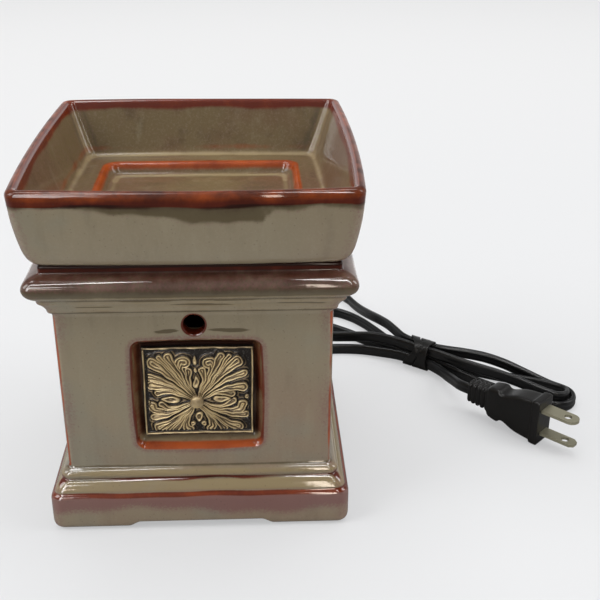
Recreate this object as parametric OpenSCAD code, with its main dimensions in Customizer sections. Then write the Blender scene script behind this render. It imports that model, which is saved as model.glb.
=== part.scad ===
// Electric wax warmer: a glazed square pedestal with a lift-off dish, a lamp inside and a tied mains cord.
// Millimetres. The front with the relief tile faces -Y, +Z is up and the table is z = 0.

/* [Pedestal] */
// half width of the straight shaft
shaft_w = 55.6; // [53:0.1:58]
// half width of the plinth at the table
base_w = 63.3; // [61:0.1:66]
// half width of the cap moulding at its widest
cap_w = 64.7; // [63:0.1:67]
// half width of the raised seat under the dish
seat_w = 58.4; // [57:0.1:60]
// height of the seat's top face
seat_z = 121.3; // [118:0.1:126]
// height of the top of the shaft, under the cap
shaft_z = 98.2; // [95:0.1:101]
// thickness of the shaft's wall
wall_t = 5.2; // [4.8:0.1:6]
// how far the lip round the top opening stands in from the hollow
lip_w = 3.9; // [3:0.1:5]
// thickness of the plinth's wall round the bottom plate
plinth_t = 10.9; // [10:0.1:11.2]
// width of the bottom flange
flange_lip = 6.4; // [6:0.1:9]
// height of the underside of the bottom flange
flange_z = 6.2; // [5.4:0.1:7.2]
// thickness of the bottom flange
flange_t = 2.4; // [2:0.1:2.6]
// how far the ceramic stands above the table on its pads
lift = 0.5; // [0.3:0.1:0.8]

/* [Front] */
// height of the round vent's centre
vent_z = 93.8; // [92:0.1:94.4]
// diameter of the round vent
vent_d = 9.8; // [8:0.1:10.2]
// width of the tile recess at the face
recess_w = 53.2; // [51:0.1:55]
// height of the tile recess at the face
recess_h = 50.6; // [48:0.1:51]
// height of the recess's centre
recess_z = 60.9; // [59:0.1:62]
// depth of the recess
recess_d = 5; // [4:0.1:6]
// width of the relief tile
tile_w = 44.8; // [42:0.1:45]
// height of the relief tile
tile_h = 40.4; // [38:0.1:40.6]
// thickness of the tile at its border
tile_t = 2.2; // [1.6:0.1:3]
// how far the tile's face swells in the middle
tile_dome = 1.4; // [0.8:0.1:1.8]
// height of the ornament above the tile's ground
relief = 0.8; // [0.5:0.1:1]

/* [Dish] */
// half width of the dish's rim at its corners
rim_w = 66; // [64:0.1:68]
// height of the rim above the seat
dish_h = 32.1; // [28:0.1:36]
// outward bow of each side of the rim
bow = 2; // [0:0.1:3]
// how far the well's edge lies inside the outside of its wall
well_in = 1.4; // [1:0.1:3]
// depth of the well below the ledge
well_d = 5; // [3:0.1:6]
// how far the well stands below the dish's foot
spigot_h = 2.4; // [1.5:0.1:4]
// gap between the well's outside and the opening in the seat
spigot_gap = 1.5; // [0.8:0.1:2.2]

/* [Lamp] */
// radius of the bulb's globe
globe_r = 25; // [22:0.1:26]
// outer radius of the lamp cap
cap_r = 6.05; // [5.9:0.05:6.2]
// radial gap between the lamp cap and the socket's shell
cap_gap = 0.08; // [0.04:0.01:0.1]
// radius of the globe's neck in the lamp cap
neck_r = 5.6; // [5.2:0.1:5.7]
// height of the socket's underside
socket_z = 22; // [20:0.5:24]
// outer radius of the socket's housing
socket_r = 13.2; // [12:0.1:14]
// length of the socket's housing
socket_h = 30; // [28:0.5:32]
// width of the strap that carries the socket
strap_w = 18; // [16:0.5:20]
// distance of the strap's upright from the lamp's axis
strap_y = 10; // [9:0.5:11]
// length of the strap's foot on the plate
foot_l = 15; // [14:0.5:18]
// spacing of the two rivets
rivet_pitch = 11; // [9:0.5:12]

/* [Bottom] */
// thickness of the bottom plate
plate_t = 1.2; // [1:0.1:1.5]
// gap between the plate and the ceramic around it
plate_gap = 0.6; // [0.3:0.1:0.9]
// radius of the plate pocket's corners
pocket_r = 5; // [4:0.1:6]
// distance of each plate screw from both sides of the pocket
screw_in = 4.4; // [4:0.1:5]
// half width of the flat part of each low arch under the plinth
arch_w = 24; // [20:0.5:28]
// length of each end of an arch
arch_run = 7; // [5:0.5:9]
// height of the arches above the table
arch_h = 2.8; // [2:0.1:3.2]
// radius of the plate screws
screw_r = 1.5; // [1.4:0.05:1.6]
// radius of the rubber pads
pad_r = 3.5; // [3:0.1:3.8]
// thickness of the rubber pads
pad_t = 1.6; // [1.2:0.1:2]

/* [Cord] */
// thickness of the flat two-core cord
cord_t = 3; // [2.8:0.1:3.1]
// width of the flat cord, which stands on edge
cord_w = 6; // [5.6:0.1:6.1]
// height of the cord's hole in the back of the plinth
exit_z = 12.6; // [12.4:0.1:12.8]
// radius of the cord's hole
exit_r = 3.9; // [3.7:0.1:4]
// length of the tapered strain relief outside
relief_l = 22; // [20:1:30]
// turns of the stored coil behind the pedestal
coil_n = 2.5; // [1.5:1:3.5]
// radius of the coil's innermost turn
coil_r = 28; // [26:0.5:32]
// distance between the middles of neighbouring turns
coil_pitch = 3.55; // [3.5:0.05:4]
// length of the wound tie along the hank
tie_l = 18; // [14:1:18]
// length of the in-line switch
switch_l = 60; // [54:1:64]
// width of the in-line switch
switch_w = 24; // [22:1:26]
// height of the in-line switch
switch_h = 15; // [14:0.5:17]
// radius of the switch's thumb wheel
wheel_r = 10; // [9.4:0.1:10.2]
// thickness of the thumb wheel
wheel_t = 5; // [4:0.2:6]
// length of the plug behind its face
plug_l = 42.4; // [38:0.2:46]
// height of the plug's face
plug_h = 24; // [22:0.5:26]
// spacing of the two blades
blade_pitch = 12.7; // [12.7:0.1:12.7]
// length of the blades beyond the face
blade_l = 17.5; // [16:0.1:18.3]
// thickness of the blades
blade_t = 1.5; // [1.4:0.05:1.6]

/* [Hidden] */
$fn = 64;
eps = 0.01;
// fits worked out from the values above
cav_w = shaft_w - wall_t;
open_w = cav_w - lip_w;
spigot_w = open_w - spigot_gap;
well_w = spigot_w - well_in;
foot_z = seat_z;
rim_z = seat_z + dish_h;
ledge_z = seat_z + 7.7;
well_z = ledge_z - well_d;
pocket_w = base_w - plinth_t;
flange_w = pocket_w - flange_lip;
screw_at = pocket_w - screw_in;
pad_at = pocket_w + 4.3;
wide_w = pocket_w + 2.1;
plate_w = pocket_w - plate_gap;
plate_r = pocket_r - plate_gap;
plate_z = flange_z - plate_t;
nut_z = flange_z + flange_t;
shell_r = cap_r + cap_gap;
rivet_y = strap_y + 0.6 * foot_l;
wheel_off = switch_w / 2 - wheel_r + 3;
tile_back = shaft_w - recess_d;
glaze = [0.47, 0.42, 0.34];
steel = [0.66, 0.67, 0.68];
brass = [0.78, 0.62, 0.3];
black = [0.06, 0.06, 0.065];

// Square rings with rounded corners, and skins that run through a list of rings.
// ring: half width w, corner radius r, outward bow b of each side, height z; 9 points a quarter turn
function turn(p, k) = let (c = cos(90 * k), s = sin(90 * k)) [c * p[0] - s * p[1], s * p[0] + c * p[1]];
function ring(w, r, z, b = 0) = let (h = w - r, side = [for (t = [-0.66, -0.33, 0, 0.33, 0.66])
    [w + b * (1 - t * t), t * h]], arc = [for (a = [0:22.5:90]) [h + r * cos(a), h + r * sin(a)]])
  [for (k = [0:3]) for (p = concat(side, arc)) let (q = turn(p, k)) [q[0], q[1], z]];
function flat_ring(w, r, z) = let (h = w - r)
  [for (k = [0:3]) for (a = [0:22.5:90]) let (q = turn([h + r * cos(a), h + r * sin(a)], k)) [q[0], q[1], z]];
function band(n, i, j) = [for (k = [0:n - 1]) let (a = i * n + k, b = i * n + (k + 1) % n,
  c = j * n + (k + 1) % n, d = j * n + k) each [[a, d, c], [a, c, b]]];

module skin(rings, closed = false) {
  n = len(rings[0]);
  m = len(rings);
  sides = [for (i = [0:m - 2]) each band(n, i, i + 1)];
  ends = closed ? band(n, m - 1, 0)
    : [[for (k = [0:n - 1]) k], [for (k = [n - 1:-1:0]) (m - 1) * n + k]];
  polyhedron(points = [for (g = rings) each g], faces = concat(sides, ends), convexity = 8);
}

module tube(r1, r2, h) {
  difference() {
    cylinder(r = r2, h = h);
    translate([0, 0, -eps]) cylinder(r = r1, h = h + 2 * eps);
  }
}

module corners(d, z = 0) {
  for (x = [-d, d]) for (y = [-d, d]) translate([x, y, z]) children();
}

// Dish: half width, height, corner radius, share of the rim's bow, from the well's underside out,
// up the wall, over the rim and down to the well's floor.
dish_lines = [
  [spigot_w - 1.4, foot_z - spigot_h, 6.4, 0], [spigot_w - 0.4, foot_z - spigot_h + 0.4, 7, 0],
  [spigot_w, foot_z - spigot_h + 1.3, 7.2, 0], [spigot_w, foot_z + 1.5, 7.2, 0],
  [spigot_w + 4.4, foot_z + 1.5, 8, 0], [spigot_w + 5, foot_z + 1.1, 8, 0],
  [spigot_w + 5.4, foot_z, 8, 0.2], [rim_w - 9.4, foot_z, 5, 0.5], [rim_w - 7.4, foot_z + 0.4, 4.6, 0.6],
  [rim_w - 5.6, foot_z + 1.6, 4.4, 0.7], [rim_w - 4.2, foot_z + 3.6, 4.4, 0.8],
  [rim_w - 3.1, foot_z + 6.7, 4.4, 0.85], [rim_w - 2.2, foot_z + 10.7, 4.4, 0.9],
  [rim_w - 1.3, foot_z + 15.7, 4.4, 0.95], [rim_w - 0.6, foot_z + 20.7, 4.4, 1],
  [rim_w - 0.2, foot_z + 25.7, 4.4, 1], [rim_w, rim_z - 3.2, 4.4, 1], [rim_w, rim_z - 1.8, 4.4, 1],
  [rim_w - 0.5, rim_z - 0.7, 4.2, 1], [rim_w - 1.4, rim_z - 0.1, 3.8, 1], [rim_w - 2.4, rim_z, 3.4, 1],
  [rim_w - 3.4, rim_z - 0.3, 3, 1], [rim_w - 4.1, rim_z - 1.1, 2.8, 1], [rim_w - 4.5, rim_z - 2.2, 2.8, 1],
  [rim_w - 5.6, rim_z - 5.4, 2.9, 1], [rim_w - 7.6, rim_z - 11.4, 3.2, 1], [rim_w - 9.6, rim_z - 17.4, 3.6, 0.95],
  [rim_w - 11, ledge_z + 3, 4, 0.9], [rim_w - 11.8, ledge_z + 1.3, 4.2, 0.8],
  [rim_w - 13.2, ledge_z + 0.3, 4.4, 0.7], [rim_w - 15, ledge_z, 4.6, 0.5],
  [well_w + 1.8, ledge_z, 6.6, 0.2], [well_w + 0.5, ledge_z - 0.3, 6, 0.1], [well_w - 0.4, ledge_z - 1.1, 5.4, 0],
  [well_w - 0.9, ledge_z - 2.2, 5, 0], [well_w - 1.7, well_z + 1.2, 4.6, 0], [well_w - 2.4, well_z + 0.4, 4.4, 0],
  [well_w - 3.6, well_z, 4, 0]];

module dish() {
  color(glaze) skin([for (l = dish_lines) ring(l[0], l[2], l[1], bow * l[3])]);
}

// Pedestal: half width, height and corner radius, up the outside over plinth, ovolo, bead, shaft,
// cove and cap to the seat, then down through the opening and the hollow to the flange and pocket.
outer_lines = [
  [base_w - 2.4, lift, 3.2], [base_w - 1.3, lift + 0.4, 3.8], [base_w - 0.4, lift + 1.5, 4.4],
  [base_w, lift + 3.2, 4.8], [base_w, 14.4, 4.8], [base_w - 0.2, 15.8, 4.6], [base_w - 0.8, 16.8, 4.2],
  [base_w - 1.4, 17.3, 4], [base_w - 1.9, 18.8, 3.8], [base_w - 3, 20.6, 3.6], [base_w - 4.3, 22, 3.4],
  [base_w - 5.4, 22.6, 3.2], [base_w - 4.9, 23.2, 3.4], [base_w - 4.6, 24.3, 3.5], [base_w - 4.9, 25.5, 3.4],
  [base_w - 5.7, 26.5, 3.2], [shaft_w + 0.9, 27, 3], [shaft_w + 0.3, 27.5, 2.8], [shaft_w, 28.6, 2.8],
  [shaft_w, shaft_z, 2.8], [shaft_w + 0.3, shaft_z + 1.1, 2.8], [shaft_w + 0.9, shaft_z + 1.9, 2.8],
  [shaft_w + 1.6, shaft_z + 2.3, 2.9], [shaft_w + 1.8, shaft_z + 3.3, 2.9], [shaft_w + 2.6, shaft_z + 4.9, 3],
  [shaft_w + 3.8, shaft_z + 6.6, 3.1], [shaft_w + 4.7, shaft_z + 7.5, 3.2], [shaft_w + 4.9, shaft_z + 8.7, 3.2],
  [shaft_w + 5.6, shaft_z + 9.6, 3.2], [cap_w - 2.2, shaft_z + 10.5, 3.2], [cap_w - 0.9, shaft_z + 11.9, 3.2],
  [cap_w - 0.2, shaft_z + 13.5, 3.2], [cap_w, shaft_z + 15, 3.2], [cap_w - 0.4, shaft_z + 16.4, 3],
  [cap_w - 1.4, shaft_z + 17.7, 2.8], [cap_w - 3, shaft_z + 18.8, 2.6], [cap_w - 4.9, shaft_z + 19.5, 2.2],
  [seat_w + 0.2, shaft_z + 19.8, 1.6], [seat_w, shaft_z + 20.2, 1.4], [seat_w, seat_z - 0.9, 1.4],
  [seat_w - 0.3, seat_z - 0.2, 1.6], [seat_w - 0.9, seat_z, 1.8]];
inner_lines = [
  [open_w + 1.1, seat_z, 8.6], [open_w + 0.3, seat_z - 0.3, 8.2], [open_w, seat_z - 1.1, 8],
  [open_w, seat_z - 4.6, 8], [open_w + 0.8, seat_z - 5.7, 8.4], [cav_w - 1.4, seat_z - 6.4, 8],
  [cav_w - 0.4, seat_z - 7.6, 7.4], [cav_w, seat_z - 9.4, 7], [cav_w, 33, 7], [cav_w + 1.4, 28.4, 7],
  [wide_w, 24.6, 6.6], [wide_w, nut_z + 0.6, 6.4], [wide_w - 0.6, nut_z, 6.2],
  [flange_w, nut_z, 8], [flange_w, flange_z, 8], [pocket_w, flange_z, pocket_r],
  [pocket_w, lift + 0.6, pocket_r], [pocket_w + 0.6, lift, pocket_r + 0.2]];

// Tile recess: tapered pocket with sides that bow outward a little.
function frame_ring(a, b, r, y, s) = [for (k = [0:3]) let (ha = a - r, hb = b - r)
  each concat([for (t = [-0.6, -0.3, 0, 0.3, 0.6]) let (u = s * (1 - t * t))
    k == 0 ? [a + u, y, t * hb] : k == 1 ? [-t * ha, y, b + u] : k == 2 ? [-a - u, y, -t * hb]
    : [t * ha, y, -b - u]], [for (q = [0:22.5:90]) let (c = turn([r * cos(q), r * sin(q)], k),
    m = turn([1, 1], k)) [m[0] * ha + c[0], y, m[1] * hb + c[1]]])];

module recess() {
  a = recess_w / 2;
  b = recess_h / 2;
  translate([0, 0, recess_z]) skin([for (g = [[-3.6, 1.6, recess_d], [-2.9, 2, recess_d - 0.6],
    [-0.5, 3.2, 0.9], [0, 3.6, 0], [0.6, 4, -0.5]])
    frame_ring(a + g[0], b + g[0] * 1.1, g[1], -shaft_w + g[2], 0.9)]);
}

module arch(k) {
  // flat in the middle, with an easy run down to the table at both ends
  line = [[arch_w + arch_run * 1.1, -1], [arch_w + arch_run, 0], [arch_w + arch_run * 0.37, arch_h * 0.82],
    [arch_w, arch_h]];
  rotate([0, 0, 90 * k]) translate([0, base_w + 2, 0]) rotate([90, 0, 0]) linear_extrude(plinth_t + 5)
    polygon(concat([for (p = line) p], [for (i = [3:-1:0]) [-line[i][0], line[i][1]]]));
}

module body_shell() {
  color(glaze) difference() {
    union() {
      skin([for (l = concat(outer_lines, inner_lines)) flat_ring(l[0], l[2], l[1])], true);
      // thicker wall behind the recess, lamp side
      translate([-recess_w / 2 - 1.5, -cav_w - 0.3, recess_z - recess_h / 2 - 1.5])
        cube([recess_w + 3, recess_d + 0.4, recess_h + 3]);
    }
    recess();
    translate([0, -shaft_w - 1, vent_z]) rotate([-90, 0, 0]) cylinder(d = vent_d, h = 14);
    translate([0, -shaft_w - 1, vent_z]) rotate([-90, 0, 0]) cylinder(d1 = vent_d + 3.6, d2 = vent_d, h = 1.8);
    translate([0, wide_w - 6, exit_z]) rotate([-90, 0, 0]) cylinder(r = exit_r, h = 24);
    for (k = [0:3]) arch(k);
    corners(screw_at, flange_z - 1) cylinder(r = screw_r + 0.2, h = flange_t + 2);
    corners(pad_at, lift - 1) cylinder(r = pad_r + 0.05, h = 1 + pad_t - lift);
  }
}

// Relief tile: outlines of leaves, scrolls and drops that grow from a boss below the middle.
function bez(p, q, r, t) = (1 - t) * (1 - t) * p + 2 * t * (1 - t) * q + t * t * r;
function leaf(p, q, r, w, tip) = let (n = 6, mid = [for (i = [0:n]) bez(p, q, r, i / n)],
  nor = [for (i = [0:n]) let (d = mid[min(n, i + 1)] - mid[max(0, i - 1)], l = norm(d)) [-d[1], d[0]] / l],
  wid = [for (i = [0:n]) let (t = i / n) w * (0.25 + 0.75 * sin(90 * min(1, t * 1.25)))
    * (t > 0.8 ? sqrt(max(tip, 1 - pow((t - 0.8) / 0.2, 2))) : 1)])
  concat([for (i = [0:n]) mid[i] + nor[i] * wid[i]], [for (i = [n:-1:0]) mid[i] - nor[i] * wid[i]]);
boss_at = [-0.6, -4.2];
// start, bend, end, half width
leaves = [
  [[0, 1.5], [-9.5, 9], [-6.8, 18.4], 1.5], [[0, 1.5], [9.5, 9], [6.8, 18.4], 1.5],
  [[0, 1.5], [-4.6, 8], [-2.3, 13.6], 1.3], [[0, 1.5], [4.8, 8.5], [1.9, 15.2], 1.3],
  [[-1.5, 0], [-9, 5.6], [-17.6, 4.6], 1.4], [[-1.5, 0], [-9, -4.6], [-17.8, -2.4], 1.4],
  [[1.5, 0], [9, 5.6], [18.2, 4.9], 1.4], [[1.5, 0], [9, -4.6], [18.2, -2.4], 1.4],
  [[0, -1.5], [-6.6, -7], [-4.2, -13.4], 1.3], [[0, -1.5], [6.6, -7], [4.6, -13.2], 1.3],
  [[-1, 1], [-9, 11.5], [-12.6, 20.6], 1.2], [[-1, 1], [-11, 12], [-18, 18.2], 1.6],
  [[-1, 1], [-12, 9], [-19, 11.4], 1.2], [[1, 1], [9, 11.5], [11.6, 20.8], 1.2],
  [[1, 1], [11, 12], [17.4, 18.4], 1.6], [[1, 1], [12, 9], [19.4, 12], 1.2],
  [[-1, -1], [-10, -5], [-18, -8.2], 1.2], [[-1, -1], [-9, -7.5], [-15.6, -12.8], 1.4],
  [[-1, -1], [-6, -8], [-9.2, -13.8], 1.1], [[1, -1], [10, -5], [19, -7.6], 1.2],
  [[1, -1], [9, -7.5], [16.8, -12.8], 1.4], [[1, -1], [6, -8], [10.4, -13.6], 1.1]];
drops = [[-0.2, 8.2, 1.6, 3.2], [-11, 0.9, 3, 1.2], [12, 1.2, 3, 1.2], [0.5, -7.6, 1.2, 2.2],
  [-6.6, 18.4, 1.9, 1.9], [6.4, 18.2, 1.9, 1.9], [-17.8, -2.2, 1.6, 1.6], [18.2, -2.2, 1.6, 1.6],
  [-4.4, -13.6, 1.5, 1.5], [5, -13.4, 1.5, 1.5], [-17.4, 18, 1.8, 1.8], [16.8, 18, 1.8, 1.8]];

module swell(h, g) {
  // cushion top over the tile: highest in the middle, flat at the border
  n = 8;
  pts = [for (i = [0:n]) for (j = [0:n]) let (u = 2 * i / n - 1, v = 2 * j / n - 1)
    [u * (tile_w / 2 - g), v * (tile_h / 2 - g), h + tile_dome * (1 - u * u) * (1 - v * v)]];
  low = [for (p = pts) [p[0], p[1], 0]];
  m = n + 1;
  polyhedron(points = concat(pts, low), faces = concat(
    [for (i = [0:n - 1]) for (j = [0:n - 1]) let (a = i * m + j, b = a + 1, c = a + m + 1, d = a + m)
      each [[a, b, c], [a, c, d]]],
    [concat([for (i = [0:n - 1]) m * m + i * m], [for (j = [0:n - 1]) m * m + n * m + j],
      [for (i = [n:-1:1]) m * m + i * m + n], [for (j = [n:-1:1]) m * m + j])],
    [for (i = [0:n - 1]) let (a = i * m, b = (i + 1) * m) each [[a, b, m * m + b], [a, m * m + b, m * m + a]]],
    [for (i = [0:n - 1]) let (a = i * m + n, b = (i + 1) * m + n) each [[b, a, m * m + a], [b, m * m + a, m * m + b]]],
    [for (j = [0:n - 1]) let (a = j, b = j + 1) each [[b, a, m * m + a], [b, m * m + a, m * m + b]]],
    [for (j = [0:n - 1]) let (a = n * m + j, b = a + 1) each [[a, b, m * m + b], [a, m * m + b, m * m + a]]]),
    convexity = 4);
}

module ornament(s) {
  translate(boss_at) {
    for (l = leaves) polygon(leaf(l[0], l[1], l[2], l[3] * s, 0.12));
    for (d = drops) translate([d[0], d[1]]) scale([d[2] * s, d[3] * s]) circle(r = 1, $fn = 8);
  }
}

module medallion() {
  color([0.62, 0.52, 0.34]) translate([0.4, -tile_back, recess_z + 0.5]) rotate([90, 0, 0]) {
    difference() {
      union() {
        swell(tile_t - relief, 0.6);
        intersection() {
          linear_extrude(12) ornament(1);
          swell(tile_t, 0.6);
        }
        difference() {
          translate([-tile_w / 2, -tile_h / 2, 0]) cube([tile_w, tile_h, tile_t]);
          translate([1.3 - tile_w / 2, 1.3 - tile_h / 2, tile_t - relief]) cube([tile_w - 2.6, tile_h - 2.6, 9]);
        }
      }
      // a sunk line along every leaf and in every scroll
      intersection() {
        linear_extrude(12) ornament(0.42);
        difference() {
          translate([-tile_w / 2, -tile_h / 2, 0]) cube([tile_w, tile_h, 12]);
          swell(tile_t - 0.45, 0.6);
        }
      }
    }
    translate([boss_at[0], boss_at[1], tile_t]) rotate_extrude($fn = 32)
      polygon([[0, 0], [2.6, 0], [2.5, 1.5], [2.1, 2.1], [1.2, 2.5], [0, 2.6]]);
  }
}

// Bottom: pads, plate, its screws and nuts, and the strap that carries the socket.
module foot_pads() {
  color(black) corners(pad_at) cylinder(r = pad_r, h = pad_t);
}

module base_plate() {
  color(steel) difference() {
    translate([0, 0, plate_z]) linear_extrude(plate_t) difference() {
      square(2 * plate_w, center = true);
      for (k = [0:3]) rotate(90 * k) translate([plate_w - plate_r, plate_w - plate_r]) difference() {
        square(plate_r + 1);
        circle(r = plate_r);
      }
    }
    corners(screw_at, plate_z - 1) cylinder(r = screw_r + 0.2, h = plate_t + 2);
    for (x = [-30, -22, -14, 14, 22, 30]) for (s = [-1, 1]) translate([x, s * 26, plate_z - 1])
      linear_extrude(plate_t + 2) {
        square([3.4, 14], center = true);
        for (e = [-7, 7]) translate([0, e]) circle(r = 1.7);
      }
    for (s = [-1, 1]) translate([s * rivet_pitch / 2, rivet_y, plate_z - 1]) cylinder(r = 1.55, h = plate_t + 2);
  }
}

module plate_screws() {
  color(steel) corners(screw_at) {
    translate([0, 0, plate_z]) cylinder(r = screw_r, h = plate_t + flange_t + 3.2);
    translate([0, 0, plate_z - 1.9]) difference() {
      cylinder(r1 = 2.3, r2 = 2.8, h = 1.9);
      for (a = [0, 90]) rotate(a) translate([-1.7, -0.35, -eps]) cube([3.4, 0.7, 0.9]);
    }
  }
}

module plate_nuts() {
  color(steel) corners(screw_at, nut_z) difference() {
    cylinder(r = 3.1, h = 2.4, $fn = 6);
    translate([0, 0, -1]) cylinder(r = screw_r + 0.03, h = 5);
  }
}

module socket_bracket() {
  color(steel) difference() {
    union() {
      translate([-strap_w / 2, strap_y, flange_z]) cube([strap_w, foot_l, plate_t]);
      translate([-strap_w / 2, strap_y, flange_z]) cube([strap_w, plate_t, socket_z - flange_z]);
      translate([-strap_w / 2, -strap_w / 2, socket_z - plate_t])
        cube([strap_w, strap_w / 2 + strap_y + eps, plate_t]);
    }
    translate([0, 0, socket_z - 4]) cylinder(r = 2.1, h = 8);
    for (s = [-1, 1]) translate([s * rivet_pitch / 2, rivet_y, flange_z - 1]) cylinder(r = 1.55, h = 4);
  }
}

module bracket_rivets() {
  color(steel) for (s = [-1, 1]) translate([s * rivet_pitch / 2, rivet_y, 0]) {
    translate([0, 0, plate_z]) cylinder(r = 1.5, h = 2 * plate_t);
    translate([0, 0, flange_z + plate_t]) cylinder(r1 = 2.7, r2 = 1.8, h = 1.1);
    translate([0, 0, plate_z - 0.8]) cylinder(r1 = 2, r2 = 2.6, h = 0.8);
  }
}

module socket_screw() {
  color(steel) translate([0, 0, socket_z - plate_t]) {
    cylinder(r = 1.95, h = plate_t + 5);
    translate([0, 0, -2.2]) cylinder(r = 3.6, h = 2.2);
  }
}

module socket_housing() {
  color(black) translate([0, 0, socket_z]) difference() {
    union() {
      cylinder(r = socket_r, h = 9);
      translate([0, 0, 9]) cylinder(r1 = socket_r, r2 = socket_r - 2.4, h = 2.4);
      translate([0, 0, 11.4]) cylinder(r = socket_r - 2.4, h = socket_h - 11.4);
      for (z = [24.4, 27.6]) translate([0, 0, socket_h - 30 + z - 0.8]) cylinder(r = socket_r - 1.7, h = 1.4);
    }
    translate([0, 0, 8]) cylinder(r = shell_r + 0.47, h = socket_h);
    translate([0, 0, -1]) cylinder(r = 2, h = 7);
    translate([0, socket_r - 3, 9]) rotate([-90, 0, 0]) cylinder(r = 2.1, h = 9);
  }
}

module socket_shell() {
  color(brass) translate([0, 0, socket_z + 9.2]) tube(shell_r, shell_r + 0.45, socket_h - 11);
}

module socket_contact() {
  color(brass) translate([0, 0, socket_z + 8]) {
    cylinder(r = 4.2, h = 0.5);
    translate([0, 0, 0.5]) cylinder(r1 = 2.6, r2 = 1.6, h = 0.7);
  }
}

// Lamp: cap, tip contact, globe with a real wall, stem and filament. The tip stands on the contact.
tip_z = socket_z + 9.3;
cap_z = tip_z + 1.6;
neck_z = cap_z + 17;
globe_z = neck_z + 7 + globe_r;
function globe_line(r, o) = [for (a = [-66:12:90]) [max(0, (r - o) * cos(a)), globe_z + (r - o) * sin(a)]];

module bulb_base() {
  color(brass) translate([0, 0, cap_z]) difference() {
    rotate_extrude() polygon([[0, 0.2], [3.4, 0.2], [4.6, 1.2], [cap_r - 0.5, 2], [cap_r - 0.5, 2.6],
      [cap_r, 3.2], [cap_r - 0.5, 3.9], [cap_r, 4.6], [cap_r, 15.6], [cap_r - 0.3, 17], [0, 17]]);
    translate([0, 0, 9]) cylinder(r = 4.6, h = 9);
  }
}

module bulb_contact() {
  color(steel) translate([0, 0, tip_z]) rotate_extrude()
    polygon([[0, 0], [1, 0], [2.1, 0.7], [2.3, 1.8], [0, 1.8]]);
}

module bulb_glass() {
  color([0.95, 0.95, 0.92, 0.45]) rotate_extrude() difference() {
    polygon(concat([[0, neck_z], [neck_r, neck_z], [neck_r + 0.6, neck_z + 1.4], [neck_r + 0.7, neck_z + 2.8],
      [neck_r + 2.8, neck_z + 6]], globe_line(globe_r, 0)));
    polygon(concat([[0, neck_z + 1], [neck_r - 0.8, neck_z + 1], [neck_r - 0.1, neck_z + 3], [neck_r + 2, neck_z + 6.6]],
      globe_line(globe_r, 0.8)));
  }
}

module bulb_stem() {
  color([0.9, 0.92, 0.95, 0.6]) translate([0, 0, neck_z + 1]) rotate_extrude()
    polygon([[0, 0], [3.6, 0], [2.4, 3], [1.7, 9], [1.9, 14], [0, 14.4]]);
}

module bulb_filament() {
  color(steel) {
    for (s = [-1, 1]) skin([for (p = [[2.3, neck_z + 12], [3.4, neck_z + 18], [8, globe_z - 3], [8.4, globe_z]])
      [for (a = [0:60:300]) [s * p[0] + 0.3 * cos(a), 0.3 * sin(a), p[1]]]]);
    translate([0, 0, globe_z]) rotate([0, 0, 0]) rotate_extrude(angle = 180) translate([8.4, 0]) circle(r = 0.4, $fn = 24);
  }
}

// Cord. A flat cord on edge: six or eight sides that ring every route point square to its way.
function way(p, i) = let (n = len(p) - 1, d = p[min(n, i + 1)] - p[max(0, i - 1)]) d / norm(d);
function across(d) = let (l = norm([d[0], d[1]])) [d[1] / l, -d[0] / l, 0];
sec6 = [[-0.3, -0.5], [0.3, -0.5], [0.5, 0], [0.3, 0.5], [-0.3, 0.5], [-0.5, 0]];
sec8 = [[-0.3, -0.5], [0.3, -0.5], [0.5, -0.27], [0.5, 0.27], [0.3, 0.5], [-0.3, 0.5], [-0.5, 0.27], [-0.5, -0.27]];

// a given first direction lets a piece start square to where its neighbour ends
module cord(p, sec, t, w, first = undef) {
  skin([for (i = [0:len(p) - 1]) let (d = i == 0 && first != undef ? first : way(p, i),
    a = across(d), u = cross(a, d))
    [for (s = sec) p[i] + a * (s[0] * t) + u * (s[1] * w)]]);
}

// hank: s runs along it and t across it, from the tie at hank_at
hank_at = [116, 77];
hank_a = [0.79, -0.613];
hank_b = [0.613, 0.79];
function on_table(q) = [hank_at[0] + q[0] * hank_a[0] + q[1] * hank_b[0],
  hank_at[1] + q[0] * hank_a[1] + q[1] * hank_b[1], q[2]];
low_z = cord_w / 2;
waist_z = low_z + 1.6;
high_z = waist_z + cord_w + 0.65;
// a fold is half a circle in equal steps: centre, radius, first and last angle, first and last height
function fold(s, t, r, a, b, za, zb) = [for (i = [0:8]) let (k = a + (b - a) * i / 8)
  [s + r * cos(k), t + r * sin(k), za + (zb - za) * i / 8]];
// five strands share the waist, three below and two above; each run names its points from fold to fold
run_in = [[-69, 37.3, low_z], [-63, 33.5, 3.3], [-55, 28.4, 4.6], [-46, 22.7, 6.7], [-37, 17, 9], [-28, 11.4, 10.7],
  [-20, 6.3, 11.2], [-12, 1.6, high_z], [-4, 0, high_z], [6, 0.2, high_z], [14, 2, high_z], [24, 5.8, 11],
  [34, 9.6, 10.1], [44, 12.6, 8.1], [54, 13.9, 5.8], [64, 14, 4], [71, 13.8, 3.1]];
run_a = [[70, -6, low_z], [60, -6.5, low_z], [48, -6.4, low_z], [36, -5.6, low_z], [24, -4.4, 3.6], [12, -3.2, 4.3],
  [0, -2.8, waist_z], [-12, -2.6, 4.3], [-24, -1.6, 3.4], [-36, 0, low_z], [-48, 1.1, low_z], [-58, 1.4, low_z]];
run_b = [[-58, 20.1, low_z], [-48, 16.9, 3.4], [-36, 11.4, 3.8], [-24, 5.6, 4.1], [-12, 1.5, 4.5], [0, 0.75, waist_z],
  [12, 1.3, 4.3], [24, 2.8, 3.4], [36, 5.2, low_z], [48, 7.8, 3.1], [60, 9.8, 3.7], [70, 10.2, 4.4]];
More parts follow.
